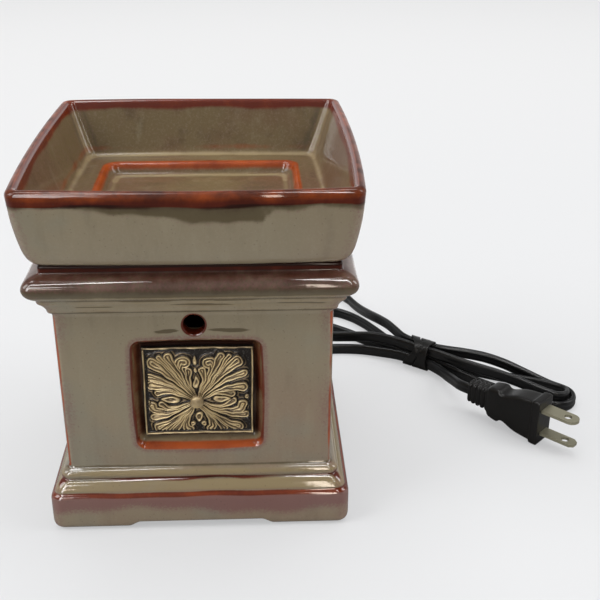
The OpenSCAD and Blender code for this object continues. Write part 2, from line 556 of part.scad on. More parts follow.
run_c = [[70, -2.3, 7.8], [60, -2.5, 9.1], [48, -2.9, 9.9], [36, -3.7, 10.2], [24, -4.5, 10.7], [12, -4.8, high_z],
  [0, -4.8, high_z], [-10, -4.8, high_z], [-20, -4.9, 10.9], [-30, -5.8, 9.6], [-40, -8, 7.6], [-50, -11.2, 5.8],
  [-60, -14.4, 4.4], [-69, -17.8, 3.3], [-75.6, -22, low_z], [-78.6, -28, low_z], [-76.6, -34, low_z],
  [-71, -37.2, low_z], [-64.6, -36.2, low_z], [-57.6, -31.2, low_z], [-50, -23.9, low_z], [-42, -17.2, low_z],
  [-32, -11.6, 3.3], [-21, -8.4, 3.8], [-10, -6.5, 4.5], [0, -6.4, waist_z], [9.2, -6.6, waist_z], [14, -7.9, 4.66]];
hank = [for (q = concat(run_in, fold(77.5, 4, 9.5, 90, -90, low_z, low_z), run_a,
  fold(-66, 11, 9.6, 270, 90, low_z, low_z), run_b, fold(77.5, 4, 6, 90, -90, 4.8, 7.2), run_c)) on_table(q)];
plug_a = [0.707, -0.707];
plug_at = [133.8, 26.8];
lead_b = concat([for (q = [[14, -7.9, 4.66], [19.6, -11.2, 5.6], [25.2, -15.9, 7.1], [31, -21.1, 9.2],
  [37.2, -26.4, 11.2]]) on_table(q)],
  [[plug_at[0] - 3.2 * plug_a[0], plug_at[1] - 3.2 * plug_a[1], plug_h / 2], [plug_at[0], plug_at[1], plug_h / 2]]);
// the lead: out of the plinth, round to the left, through the switch and on to the hank
switch_at = [17, 175, 0];
coil_at = [-46, switch_at[1] - coil_r - coil_n * coil_pitch];
// flat coil, clockwise and outward from its lowest point: it ends at its top, level with the switch
coil = [for (i = [0:24 * coil_n]) let (a = -90 - 15 * i, r = coil_r + coil_pitch * i / 24,
  k = min(1, i / 4), z = low_z + (1 - k * k * (3 - 2 * k)) * (cord_w + 0.5))
  [coil_at[0] + r * cos(a), coil_at[1] + r * sin(a), i < 4 ? z : low_z]];
relief_end = base_w + 2 + relief_l;
over_z = low_z + cord_w + 0.5;
lead_in = [[0, relief_end + 0.05, exit_z], [0, relief_end + 4, exit_z], [-1.6, relief_end + 9.6, 12.3],
  [-6.4, relief_end + 16, 11.6], [-13.6, relief_end + 21.4, 10.7], [-22, relief_end + 24, over_z + 0.3],
  [-30.6, relief_end + 24, over_z + 0.1], [-38.6, relief_end + 23.2, over_z]];
lead_out = [[coil_at[0] + 9, switch_at[1], low_z + 0.4], [coil_at[0] + 18, switch_at[1], low_z + 2.2],
  [switch_at[0] - switch_l / 2 - 7, switch_at[1], switch_h / 2 - 0.3],
  [switch_at[0] - switch_l / 2 - 3, switch_at[1], switch_h / 2],
  [switch_at[0] - switch_l / 2 - 0.05, switch_at[1], switch_h / 2]];
lead_a = concat(lead_in, coil, lead_out);
lead_c = concat([[switch_at[0] + switch_l / 2 + 0.05, switch_at[1], switch_h / 2],
  [switch_at[0] + switch_l / 2 + 3, switch_at[1], switch_h / 2],
  [57, 174.4, 6.4], [65.4, 171.6, 4.6], [73, 165.8, 3.2], [79.2, 158.6, low_z]],
  [for (q = [[-72, 39.2, low_z], [-69, 37.6, low_z]]) on_table(q)]);
inner_route = [[0, wide_w - 3, exit_z], [0, 45, exit_z], [0, 39, 14], [0, 33, 18.6], [0, 27.5, 24.4],
  [0, 21.6, 29.4], [0, 17, 31], [0, socket_r - 2.4, socket_z + 9]];

function run_length(p) = [for (i = 0, s = 0; i < len(p); s = s + (i + 1 < len(p) ? norm(p[i + 1] - p[i]) : 0),
  i = i + 1) s][len(p) - 1];
function gap2(p, q) = max(norm([p[0] - q[0], p[1] - q[1]]) - cord_t, abs(p[2] - q[2]) - cord_w);
function denser(p) = [for (i = [0:len(p) - 2]) for (t = [0:0.25:0.75]) p[i] * (1 - t) + p[i + 1] * t];
function least_gap(p) = min([for (i = [0:len(p) - 1]) for (j = [i + 20:len(p) - 1]) gap2(p[i], p[j])]);
echo(least_gap_in_hank = least_gap(denser(hank)), least_gap_in_coil = least_gap(denser(lead_a)),  // cord_hank
    whole_cord_mm = run_length(hank) + run_length(lead_a) + run_length(lead_b) + run_length(lead_c) + switch_l,
    rings = len(hank) + len(lead_a) + len(lead_b) + len(lead_c));

module inner_lead() {
  color(black) cord(inner_route, sec8, 2.8, 3.8);
}

module cord_relief() {
  color(black) translate([0, wide_w - 3, exit_z]) rotate([-90, 0, 0]) {
    cylinder(r = exit_r - 0.05, h = base_w - wide_w + 3);
    translate([0, 0, base_w - wide_w + 3]) difference() {
      union() {
        cylinder(r = 4.7, h = 2);
        translate([0, 0, 2]) cylinder(r1 = 4.1, r2 = 3.4, h = relief_l);
      }
      for (i = [0:4]) translate([0, 0, 5 + 3.2 * i]) tube(3.05, 6, 1.2);
    }
  }
}

module cord_lead() {
  color(black) cord(lead_a, sec6, cord_t, cord_w);
}

module cord_tail() {
  color(black) cord(lead_c, sec8, cord_t, cord_w);
}

// In-line switch: two halves round a thumb wheel that stands on the lower half's post.
module switch_half(low) {
  h = switch_h / 2;
  color(black) translate([switch_at[0], switch_at[1], low ? 0 : h]) difference() {
    linear_extrude(h) polygon([for (p = [[-0.5, -0.2], [-0.32, -0.46], [-0.22, -0.5], [0.22, -0.5], [0.32, -0.46],
      [0.5, -0.2], [0.5, 0.2], [0.32, 0.46], [0.22, 0.5], [-0.22, 0.5], [-0.32, 0.46], [-0.5, 0.2]])
      [p[0] * switch_l, p[1] * switch_w]]);
    // bevel along the outer long edges
    for (s = [-1, 1]) translate([-switch_l, s * switch_w / 2, low ? 0 : h]) rotate([45, 0, 0])
      translate([0, -1.2, -1.2]) cube([2 * switch_l, 2.4, 2.4]);
    // wheel room, open at the side
    translate([0, wheel_off, low ? h - wheel_t / 2 - 0.3 : -eps]) difference() {
      cylinder(r = wheel_r + 0.7, h = wheel_t / 2 + 0.3 + eps);
      if (low) translate([0, 0, -1]) cylinder(r = 1.98, h = wheel_t + 2);
    }
    for (x = [-1, 1]) translate([x * switch_l * 0.27, -switch_w * 0.24, 0]) {
      translate([0, 0, -1]) cylinder(r = low ? 1.3 : 1.02, h = low ? h + 2 : h - 1.5);
      if (low) translate([0, 0, -1]) cylinder(r = 2.6, h = 3.2);
    }
  }
}

module switch_lower() {
  switch_half(true);
}

module switch_upper() {
  switch_half(false);
}

module switch_wheel() {
  color([0.14, 0.14, 0.15]) translate([switch_at[0], switch_at[1] + wheel_off, switch_h / 2 - wheel_t / 2])
    difference() {
      cylinder(r = wheel_r, h = wheel_t);
      translate([0, 0, -1]) cylinder(r = 2.04, h = wheel_t + 2);
      for (a = [0:18:359]) rotate(a) translate([wheel_r + 0.35, 0, -1]) cylinder(r = 0.8, h = wheel_t + 2);
    }
}

module switch_screws() {
  color(steel) for (x = [-1, 1]) translate([switch_at[0] + x * switch_l * 0.27, switch_at[1] - switch_w * 0.24, 0]) {
    translate([0, 0, 0.7]) cylinder(r = 2.4, h = 1.5);
    translate([0, 0, 2.2]) cylinder(r = 1, h = switch_h / 2 + 2);
  }
}

module cord_hank() {
  color(black) cord(hank, sec6, cord_t, cord_w);
}

module cord_tie() {
  // a flat band wound round the waist: inside it clears the strands by 0.3 mm, outside it bulges a little
  lo = -6.4 - cord_t / 2 - 0.35;
  hi = 0.8 + cord_t / 2 + 0.5;
  top = high_z + cord_w / 2 + 0.3;
  ring_of = function (g) [for (c = [[hi, 0], [hi, 1], [lo, 1], [lo, 0]]) for (a = [0:30:90])
    let (q = (c[0] > 0 ? (c[1] > 0 ? a : a - 90) : (c[1] > 0 ? a + 90 : a + 180)))
    [c[0] + (c[0] > 0 ? -1.6 : 1.6) + (1.6 + g) * cos(q), (c[1] > 0 ? top - 1.6 : 2.8) + (1.6 + g) * sin(q)]];
  place = function (s, p) on_table([s, p[0], p[1]]);
  h = tie_l / 2;
  color(black) skin([for (l = [[-h, 0.3], [-h + 0.6, 1.1], [-h * 0.6, 0.9], [-h * 0.3, 1.15], [h * 0.3, 1.15],
    [h * 0.6, 0.9], [h - 0.6, 1.1], [h, 0.3], [h, 0], [-h, 0]]) [for (p = ring_of(l[1])) place(l[0], p)]], true);
}

module cord_plug_lead() {
  n = len(hank) - 1;
  color(black) cord(lead_b, sec8, cord_t, cord_w, (hank[n] - hank[n - 1]) / norm(hank[n] - hank[n - 1]));
}

// Plug: lies on its narrow side with the blades one above the other; x runs to the face here.
module plug_frame() {
  multmatrix([[plug_a[0], -plug_a[1], 0, plug_at[0]], [plug_a[1], plug_a[0], 0, plug_at[1]], [0, 0, 1, 0], [0, 0, 0, 1]])
    children();
}

module plug_body() {
  c = plug_h / 2;
  color(black) plug_frame() {
    difference() {
      intersection() {
        translate([0, 8, 0]) rotate([90, 0, 0]) linear_extrude(16) polygon([[0, c - 6], [12, c - 6.6], [12.6, c - 8.4],
          [18.6, c - 9.4], [20.4, c - 7.4], [23, c - 7.8], [28, c - 10], [plug_l - 4.4, c - 11], [plug_l - 4.4, c + 11],
          [28, c + 10], [23, c + 7.8], [20.4, c + 7.4], [18.6, c + 9.4], [12.6, c + 8.4], [12, c + 6.6], [0, c + 6]]);
        translate([0, 0, -1]) linear_extrude(plug_h + 2) polygon([[0, -3.6], [12, -4.2], [16, -5.4], [plug_l - 4.4, -5.9],
          [plug_l - 4.4, 5.9], [16, 5.4], [12, 4.2], [0, 3.6]]);
      }
      for (i = [0:3]) translate([1.6 + 2.7 * i, 0, 0]) difference() {
        translate([0, -9, 0]) cube([1.2, 18, plug_h]);
        translate([-1, -2.9, c - 5.2]) cube([4, 5.8, 10.4]);
      }
    }
    translate([plug_l - 4.4, 0, 0]) rotate([90, 0, 90]) linear_extrude(4.4) polygon([[-6.5, 1.6], [-5, 0], [5, 0],
      [6.5, 1.6], [6.5, plug_h - 4], [4, plug_h], [-4, plug_h], [-6.5, plug_h - 4]]);
  }
}

module plug_blades() {
  color([0.72, 0.7, 0.62]) plug_frame() for (s = [-1, 1]) {
    w = s > 0 ? 3.97 : 3.17;
    translate([plug_l, 0, plug_h / 2 + s * blade_pitch / 2 - blade_t / 2]) linear_extrude(blade_t) difference() {
      if (s > 0) {
        translate([0, -w]) square([blade_l - w, 2 * w]);
        translate([blade_l - w, 0]) circle(r = w);
      } else polygon([[0, -w], [blade_l - 2, -w], [blade_l, -w + 1.6], [blade_l, w - 1.6], [blade_l - 2, w], [0, w]]);
      translate([11.9, 0]) circle(r = 1.9);
    }
  }
}

dish();
body_shell();
medallion();
foot_pads();
base_plate();
plate_screws();
plate_nuts();
socket_bracket();
bracket_rivets();
socket_screw();
socket_housing();
socket_shell();
socket_contact();
bulb_base();
bulb_contact();
bulb_glass();
bulb_stem();
bulb_filament();
inner_lead();
cord_relief();
cord_lead();
switch_lower();
switch_upper();
switch_wheel();
switch_screws();
cord_tail();
cord_hank();
cord_tie();
cord_plug_lead();
plug_body();
plug_blades();
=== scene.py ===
import math

import bpy
import numpy as np
from mathutils import Matrix


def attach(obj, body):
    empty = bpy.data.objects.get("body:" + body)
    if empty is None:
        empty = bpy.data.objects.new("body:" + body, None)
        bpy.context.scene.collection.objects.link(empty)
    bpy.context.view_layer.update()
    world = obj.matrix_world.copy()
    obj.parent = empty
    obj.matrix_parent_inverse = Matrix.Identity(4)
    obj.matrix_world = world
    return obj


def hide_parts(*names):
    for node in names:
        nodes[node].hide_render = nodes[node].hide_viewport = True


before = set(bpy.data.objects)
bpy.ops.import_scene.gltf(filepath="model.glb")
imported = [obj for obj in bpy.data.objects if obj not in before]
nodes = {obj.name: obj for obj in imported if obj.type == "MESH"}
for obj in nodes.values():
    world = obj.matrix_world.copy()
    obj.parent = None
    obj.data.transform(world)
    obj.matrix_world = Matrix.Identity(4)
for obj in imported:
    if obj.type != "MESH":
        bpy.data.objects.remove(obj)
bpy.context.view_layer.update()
mm = 0.001

cameraSetup = {
    "focalPixels": 1003.56,     # focal length in pixels of a 600 pixel wide picture
    "imageWidth": 600,
    "pitch": 0.44967,           # radians down
    "roll": 0.00623,
    "yaw": -0.04876,
    "place": (24.718, -410.918, 275.806),
}


def placedBy(right, up, back, place):
    # a camera's or lamp's matrix from its own axes; both look along their -Z
    return Matrix([[right[k], up[k], back[k], place[k]] for k in range(3)] + [[0, 0, 0, 1]])


def makeCamera(setup):
    # right, up and forward vectors from yaw, pitch and roll
    cosYaw, sinYaw = math.cos(setup["yaw"]), math.sin(setup["yaw"])
    cosPitch, sinPitch = math.cos(setup["pitch"]), math.sin(setup["pitch"])
    right = np.array([cosYaw, sinYaw, 0])
    forward = np.array([-sinYaw * cosPitch, cosYaw * cosPitch, -sinPitch])
    up = np.cross(right, forward)
    cosRoll, sinRoll = math.cos(setup["roll"]), math.sin(setup["roll"])
    right, up = cosRoll * right + sinRoll * up, cosRoll * up - sinRoll * right
    camera = bpy.data.objects.new("photoCamera", bpy.data.cameras.new("photoCamera"))
    bpy.context.scene.collection.objects.link(camera)
    camera.data.sensor_width = 36
    camera.data.lens = 36 * setup["focalPixels"] / setup["imageWidth"]
    camera.data.clip_start, camera.data.clip_end = 0.01, 50
    camera.matrix_world = placedBy(right, up, -forward, np.array(setup["place"]) * mm)
    bpy.context.scene.camera = camera


makeCamera(cameraSetup)
print("camera placed")

cordLook = {
    "width": 6.0,               # the flat cord stands on edge
    "thickness": 3.0,
    "groove": 0.42,             # depth of the groove between its two cores
    "grooveReach": 0.55,
    "flatness": 0.62,           # under 1 the flat sides are flatter
    "ringGap": 1.1,             # distance between rings along the cord
    "sides": 28,
}
hankPlace = {"at": (116, 77), "along": (0.79, -0.613), "across": (0.613, 0.79)}
lowZ = 3.0                             # the middle of a strand that lies on the table
switchRow, switchZ = 175, 7.5          # the line on which the cord enters and leaves the switch
# stored behind the pedestal
coilPlace = {"turns": 2.5, "radius": 28, "pitch": 3.55, "overZ": 9.5, "middleX": -46, "stepsPerTurn": 24}
plugPlace = {"at": (133.8, 26.8), "along": (0.707, -0.707), "height": 24, "length": 42.4,
             "ribs": 4, "firstRib": 1.2, "ribGap": 2.75}

reliefEnd = 87.3
leadIn = [(0, reliefEnd, 12.6), (0, reliefEnd + 4, 12.6), (-1.6, reliefEnd + 9.6, 12.3),
          (-6.4, reliefEnd + 16, 11.6), (-13.6, reliefEnd + 21.4, 10.7), (-22, reliefEnd + 24, 9.8),
          (-30.6, reliefEnd + 24, 9.6), (-38.6, reliefEnd + 23.2, 9.5)]
leadOut = [(-37, switchRow, 3.4), (-28, switchRow, 5.2), (-20, switchRow, 7.2), (-16, switchRow, switchZ),
           (-13, switchRow, switchZ)]
tailRoute = [(47, switchRow, switchZ), (50, switchRow, switchZ), (57, 174.4, 6.4), (65.4, 171.6, 4.6),
             (73, 165.8, 3.2), (79.2, 158.6, 3)]
# points along and across the hank, and their height
runIn = [(-72, 39.2, 3), (-69, 37.3, 3), (-63, 33.5, 3.3), (-55, 28.4, 4.6), (-46, 22.7, 6.7), (-37, 17, 9),
         (-28, 11.4, 10.7), (-20, 6.3, 11.2), (-12, 1.6, 11.25), (-4, 0, 11.25), (6, 0.2, 11.25),
         (14, 2, 11.25), (24, 5.8, 11), (34, 9.6, 10.1), (44, 12.6, 8.1), (54, 13.9, 5.8), (64, 14, 4),
         (71, 13.8, 3.1)]
runA = [(70, -6, 3), (60, -6.5, 3), (48, -6.4, 3), (36, -5.6, 3), (24, -4.4, 3.6), (12, -3.2, 4.3),
        (0, -2.8, 4.6), (-12, -2.6, 4.3), (-24, -1.6, 3.4), (-36, 0, 3), (-48, 1.1, 3), (-58, 1.4, 3)]
runB = [(-58, 20.1, 3), (-48, 16.9, 3.4), (-36, 11.4, 3.8), (-24, 5.6, 4.1), (-12, 1.5, 4.5), (0, 0.75, 4.6),
        (12, 1.3, 4.3), (24, 2.8, 3.4), (36, 5.2, 3), (48, 7.8, 3.1), (60, 9.8, 3.7), (70, 10.2, 4.4)]
runC = [(70, -2.3, 7.8), (60, -2.5, 9.1), (48, -2.9, 9.9), (36, -3.7, 10.2), (24, -4.5, 10.7),
        (12, -4.8, 11.25), (0, -4.8, 11.25), (-10, -4.8, 11.25), (-20, -4.9, 10.9), (-30, -5.8, 9.6),
        (-40, -8, 7.6), (-50, -11.2, 5.8), (-60, -14.4, 4.4), (-69, -17.8, 3.3), (-75.6, -22, 3),
        (-78.6, -28, 3), (-76.6, -34, 3), (-71, -37.2, 3), (-64.6, -36.2, 3), (-57.6, -31.2, 3),
        (-50, -23.9, 3), (-42, -17.2, 3), (-32, -11.6, 3.3), (-21, -8.4, 3.8), (-10, -6.5, 4.5),
        (0, -6.4, 4.6), (9.2, -6.6, 4.6), (14, -7.9, 4.66), (19.6, -11.2, 5.6), (25.2, -15.9, 7.1),
        (31, -21.1, 9.2), (37.2, -26.4, 11.2)]


def onTable(points):
    # hank coordinates to the object's frame: at + s * along + t * across
    points = np.asarray(points, float)
    flat = (np.array(hankPlace["at"]) + points[:, :1] * np.array(hankPlace["along"])
            + points[:, 1:2] * np.array(hankPlace["across"]))
    return np.column_stack([flat, points[:, 2]])


def fold(s, t, radius, first, last, zFirst, zLast):
    # half a circle in nine equal steps round (s, t), its height changing evenly; onto the table like a run
    k = np.linspace(0, 1, 9)
    angle = np.radians(first + (last - first) * k)
    return onTable(np.column_stack([s + radius * np.cos(angle), t + radius * np.sin(angle),
                                    zFirst + (zLast - zFirst) * k]))


def flatCoil(place, top):
    # clockwise and outward from its lowest point: radius + pitch * turns done, ending at its top, level with
    # the switch; over its first sixth of a turn it comes down from the turns that it crossed
    steps = place["stepsPerTurn"]
    i = np.arange(int(steps * place["turns"]) + 1)
    radius = place["radius"] + place["pitch"] * i / steps
    angle = np.radians(-90 - 360 / steps * i)
    share = np.clip(i / 4, 0, 1)
    z = lowZ + (1 - share**2 * (3 - 2 * share)) * (place["overZ"] - lowZ)
    return np.column_stack([place["middleX"] + radius * np.cos(angle),
                            top - radius[-1] + radius * np.sin(angle), z])


def hermite(points, gap, least):
    # curve through the points: at each, the tangent is the mean direction, as long as the shorter side
    # gives, for every length between two points, its number, the shares u of its way and the curve there
    step = np.diff(points, axis=0)
    length = np.linalg.norm(step, axis=1)
    unit = step / length[:, None]
    way = np.vstack([unit[:1], unit[:-1] + unit[1:], unit[-1:]])
    way /= np.linalg.norm(way, axis=1)[:, None]
    near = np.minimum(np.r_[length[0], length], np.r_[length, length[-1]])
    for k in range(len(length)):
        count = max(least, int(math.ceil(length[k] / gap)))
        u = np.arange(count)[:, None] / count
        ta, tb = way[k] * near[k], way[k + 1] * near[k + 1]
        yield k, u, ((2 * u**3 - 3 * u**2 + 1) * points[k] + (u**3 - 2 * u**2 + u) * ta
                     + (3 * u**2 - 2 * u**3) * points[k + 1] + (u**3 - u**2) * tb)


def smoothPath(points, gap):
    # that curve as one array, with at least two steps for each length
    points = np.asarray(points, float)
    return np.vstack([curve for _, _, curve in hermite(points, gap, 2)] + [points[-1:]])


def denseProfile(rows, gap):
    # rows of (half width, height, corner radius, ...): the first two on the curve, the rest in even steps
    rows = np.asarray(rows, float)
    parts = [np.column_stack([curve, rows[k, 2:] * (1 - u) + rows[k + 1, 2:] * u])
             for k, u, curve in hermite(rows[:, :2], gap, 1)]
    return np.vstack(parts + [rows[-1:]])


def makeMesh(name, points, faces, smooth=True, attributes=None):
    # points in millimetres; faces are rows of four corner numbers, the last -1 where a face has only three
    mesh = bpy.data.meshes.new(name)
    rows = [face[:3] if face[3] < 0 else face for face in np.asarray(faces).tolist()]
    mesh.from_pydata((np.asarray(points) * mm).tolist(), [], rows)
    for key, values in (attributes or {}).items():
        layer = mesh.attributes.new(key, "FLOAT", "POINT")
        layer.data.foreach_set("value", np.asarray(values, np.float32).ravel())
    mesh.polygons.foreach_set("use_smooth", [smooth] * len(mesh.polygons))
    mesh.update()
    piece = bpy.data.objects.new(name, mesh)
    bpy.context.scene.collection.objects.link(piece)
    return piece


def gridFaces(rows, columns, closeColumns=True, closeRows=False):
    # quads between neighbouring rows of a grid whose point number is row * columns + column
    i = np.arange(rows if closeRows else rows - 1)[:, None]
    j = np.arange(columns if closeColumns else columns - 1)[None, :]
    up, right = (i + 1) % rows, (j + 1) % columns
    quads = np.stack([i * columns + j, i * columns + right, up * columns + right, up * columns + j], -1)
    return quads.reshape(-1, 4)


def fanCap(ring, centre, flip=False):
    # triangles from one centre point to every edge of a ring
    after = np.roll(ring, -1)
    pair = (after, ring) if flip else (ring, after)
    return np.column_stack([*pair, np.full(len(ring), centre), np.full(len(ring), -1)])


def cappedTube(name, grid, first, last, attributes=None):
    # a grid of rings, closed by a fan from one point at either end
    rows, columns = grid.shape[:2]
    count, ring = rows * columns, np.arange(columns)
    faces = np.vstack([gridFaces(rows, columns), fanCap(ring, count, flip=True),
                       fanCap(ring + count - columns, count + 1)])
    return makeMesh(name, np.vstack([grid.reshape(-1, 3), [first], [last]]), faces, attributes=attributes)


def unitRows(rows):
    return rows / np.linalg.norm(rows, axis=1)[:, None]


def sweep(name, path, section):
    # a section of (sideways, upwards) points carried along the path, square to it and upright
    way = unitRows(np.gradient(path, axis=0))
    side = unitRows(np.column_stack([way[:, 1], -way[:, 0], np.zeros(len(way))]))
    up = np.cross(side, way)
    grid = path[:, None] + side[:, None] * section[None, :, :1] + up[:, None] * section[None, :, 1:]
    return cappedTube(name, grid, path[0], path[-1])


def power(value, exponent):
    # a power that keeps the sign
    return np.sign(value) * np.abs(value) ** exponent


def cordSection(look):
    # two round cores side by side: a rounded bar whose half thickness dips by the groove in its middle
    angle = np.linspace(0, 2 * math.pi, look["sides"], endpoint=False)
    half, core = look["width"] / 2, look["thickness"] / 2
    height, side = np.sin(angle) * half, np.cos(angle)
    dip = look["groove"] * np.exp(-(height / look["grooveReach"]) ** 2)
    end = np.clip((np.abs(height) - (half - core)) / core, 0, 1)
    flat = power(side, look["flatness"]) * core * (1 - 0.05 * end)
    return np.column_stack([flat - np.sign(side) * dip * (np.abs(side) > 0.3), height])


section = cordSection(cordLook)
leadPath = smoothPath(np.vstack([leadIn, flatCoil(coilPlace, switchRow), leadOut]), cordLook["ringGap"])
plugNeck = np.array([*plugPlace["at"], plugPlace["height"] / 2])
plugWay = np.array([*plugPlace["along"], 0])
hankPath = smoothPath(np.vstack([
    tailRoute, onTable(runIn), fold(77.5, 4, 9.5, 90, -90, lowZ, lowZ), onTable(runA),
    fold(-66, 11, 9.6, 270, 90, lowZ, lowZ), onTable(runB), fold(77.5, 4, 6, 90, -90, 4.8, 7.2),
    onTable(runC), [plugNeck - 3.2 * plugWay], [plugNeck]]), cordLook["ringGap"])
leadCord = sweep("leadCord", leadPath, section)
hankCord = sweep("hankCord", hankPath, section)


def pathLength(path):
    return float(np.linalg.norm(np.diff(path, axis=0), axis=1).sum()) * mm


print("cords laid, metres:", round(pathLength(leadPath), 3), round(pathLength(hankPath), 3))


def feed(socket, value):
    # a number, a colour, a vector or another node's output goes into the socket
    if isinstance(value, bpy.types.NodeSocket):
        socket.id_data.links.new(value, socket)
    elif socket.type == "RGBA":
        socket.default_value = (*value, 1)
    else:
        socket.default_value = value


def setSockets(node, **values):
    for key, value in values.items():
        feed(node.inputs[key.replace("_", " ")], value)


def addNode(tree, kind, **values):
    # values with a small first letter are the node's settings, the others go into its sockets
    node = tree.nodes.new(kind)
    for key, value in values.items():
        if key[0].islower():
            setattr(node, key, value)
    setSockets(node, **{key: value for key, value in values.items() if not key[0].islower()})
    return node


def filledNode(kind, sockets, values, **settings):
    # a node in its values' own tree, whose values go into numbered sockets
    tree = next(value.id_data for value in values if isinstance(value, bpy.types.NodeSocket))
    node = addNode(tree, kind, **settings)
    for number, value in zip(sockets, values):
        feed(node.inputs[number], value)
    return node


def mathNode(operation, *values):
    return filledNode("ShaderNodeMath", (0, 1), values, operation=operation).outputs[0]


def times(a, b):
    return mathNode("MULTIPLY", a, b)


def plus(a, b):
    return mathNode("ADD", a, b)


def minus(a, b):
    return mathNode("SUBTRACT", a, b)


def mixColour(amount, a, b):
    return filledNode("ShaderNodeMix", (0, 6, 7), (amount, a, b), data_type="RGBA").outputs[2]


def mixShader(amount, a, b):
    return filledNode("ShaderNodeMixShader", (0, 1, 2), (amount, a.outputs[0], b.outputs[0]))


def rampNode(value, low, high):
    # smooth step from 0 at low to 1 at high
    return addNode(value.id_data, "ShaderNodeMapRange", interpolation_type="SMOOTHSTEP", Value=value,
                   From_Min=low, From_Max=high).outputs[0]


def noiseNode(place, scale, detail, roughness):
    return addNode(place.id_data, "ShaderNodeTexNoise", Vector=place, Scale=scale, Detail=detail,
                   Roughness=roughness).outputs[0]


def bumpNode(height, strength, distance, **under):
    # a normal raised by a height; under names the Normal that it lies on
    return addNode(height.id_data, "ShaderNodeBump", Height=height, Strength=strength, Distance=distance,
                   **under).outputs[0]


def objectPlace(tree):
    return addNode(tree, "ShaderNodeTexCoord").outputs["Object"]


def attributeNode(tree, name):
    return addNode(tree, "ShaderNodeAttribute", attribute_name=name).outputs["Fac"]


def makeMottle():
    # cloudy patches, fine grain and pin-prick specks, each 0 to 1, on Object coordinates
    group = bpy.data.node_groups.new("mottle", "ShaderNodeTree")
    for label, size in (("Patch Size", 20.0), ("Grain Size", 600.0), ("Speck Size", 260.0)):
        socket = group.interface.new_socket(name=label, in_out="INPUT", socket_type="NodeSocketFloat")
        socket.default_value = size
    for label in ("Patches", "Grain", "Specks"):
        group.interface.new_socket(name=label, in_out="OUTPUT", socket_type="NodeSocketFloat")
    given, result = group.nodes.new("NodeGroupInput"), group.nodes.new("NodeGroupOutput")
    place = objectPlace(group)
    cell = addNode(group, "ShaderNodeTexVoronoi", Vector=place, Scale=given.outputs["Speck Size"])
    setSockets(result, Patches=noiseNode(place, given.outputs["Patch Size"], 3.0, 0.55),
               Grain=noiseNode(place, given.outputs["Grain Size"], 2.0, 0.7),
               Specks=minus(1.0, rampNode(cell.outputs["Distance"], 0.05, 0.16)))
    return group


mottle = makeMottle()


def placeMottle(tree, **values):
    node = tree.nodes.new("ShaderNodeGroup")
    node.node_tree = mottle
    setSockets(node, **values)
    return node.outputs


def startMaterial(name):
    material = bpy.data.materials.new(name)
    material.use_nodes = True
    tree = material.node_tree
    return material, tree, tree.nodes["Principled BSDF"]


def plainMaterial(name, colour, roughness, metallic=0.0, ior=1.5, grain=0.0, grainScale=900.0):
    material, tree, shader = startMaterial(name)
    setSockets(shader, Base_Color=colour, Roughness=roughness, Metallic=metallic, IOR=ior)
    if grain:
        marks = placeMottle(tree, Grain_Size=grainScale)
        setSockets(shader, Normal=bumpNode(marks["Grain"], grain, 0.0002))
    return material


glazeLook = {
    "stone": (0.224, 0.184, 0.120),      # the thick grey olive glaze
    "stoneWarm": (0.218, 0.155, 0.102),
    "stoneCool": (0.190, 0.180, 0.135),
    "umber": (0.130, 0.092, 0.042),      # inside the dish
    "umberRed": (0.112, 0.060, 0.030),
    "paleRun": (0.300, 0.272, 0.185),    # fine runs and grain in it
    "darkRun": (0.120, 0.094, 0.058),
    "paleGrain": (0.30, 0.27, 0.20),
    "speck": (0.045, 0.03, 0.02),
    # cream: pale glaze; in the dish it also paints highlight
    "cream": (0.240, 0.182, 0.096),
    "plum": (0.165, 0.072, 0.066),
    "red": (0.095, 0.012, 0.003),        # where it breaks over an edge, and how deep it is there
    "amber": (0.340, 0.060, 0.006),
    "pool": (0.088, 0.066, 0.034),       # where it gathers in a groove
    # dark: dark glaze, and the colour of painted shade
    "dark": (0.022, 0.006, 0.003),
    "roughness": 0.42, "coatRoughness": 0.05, "coatIor": 1.55, "specular": 0.08,
    "patchSize": 26.0, "grainSize": 900.0, "speckSize": 420.0, "runStretch": (150.0, 150.0, 26.0),
}


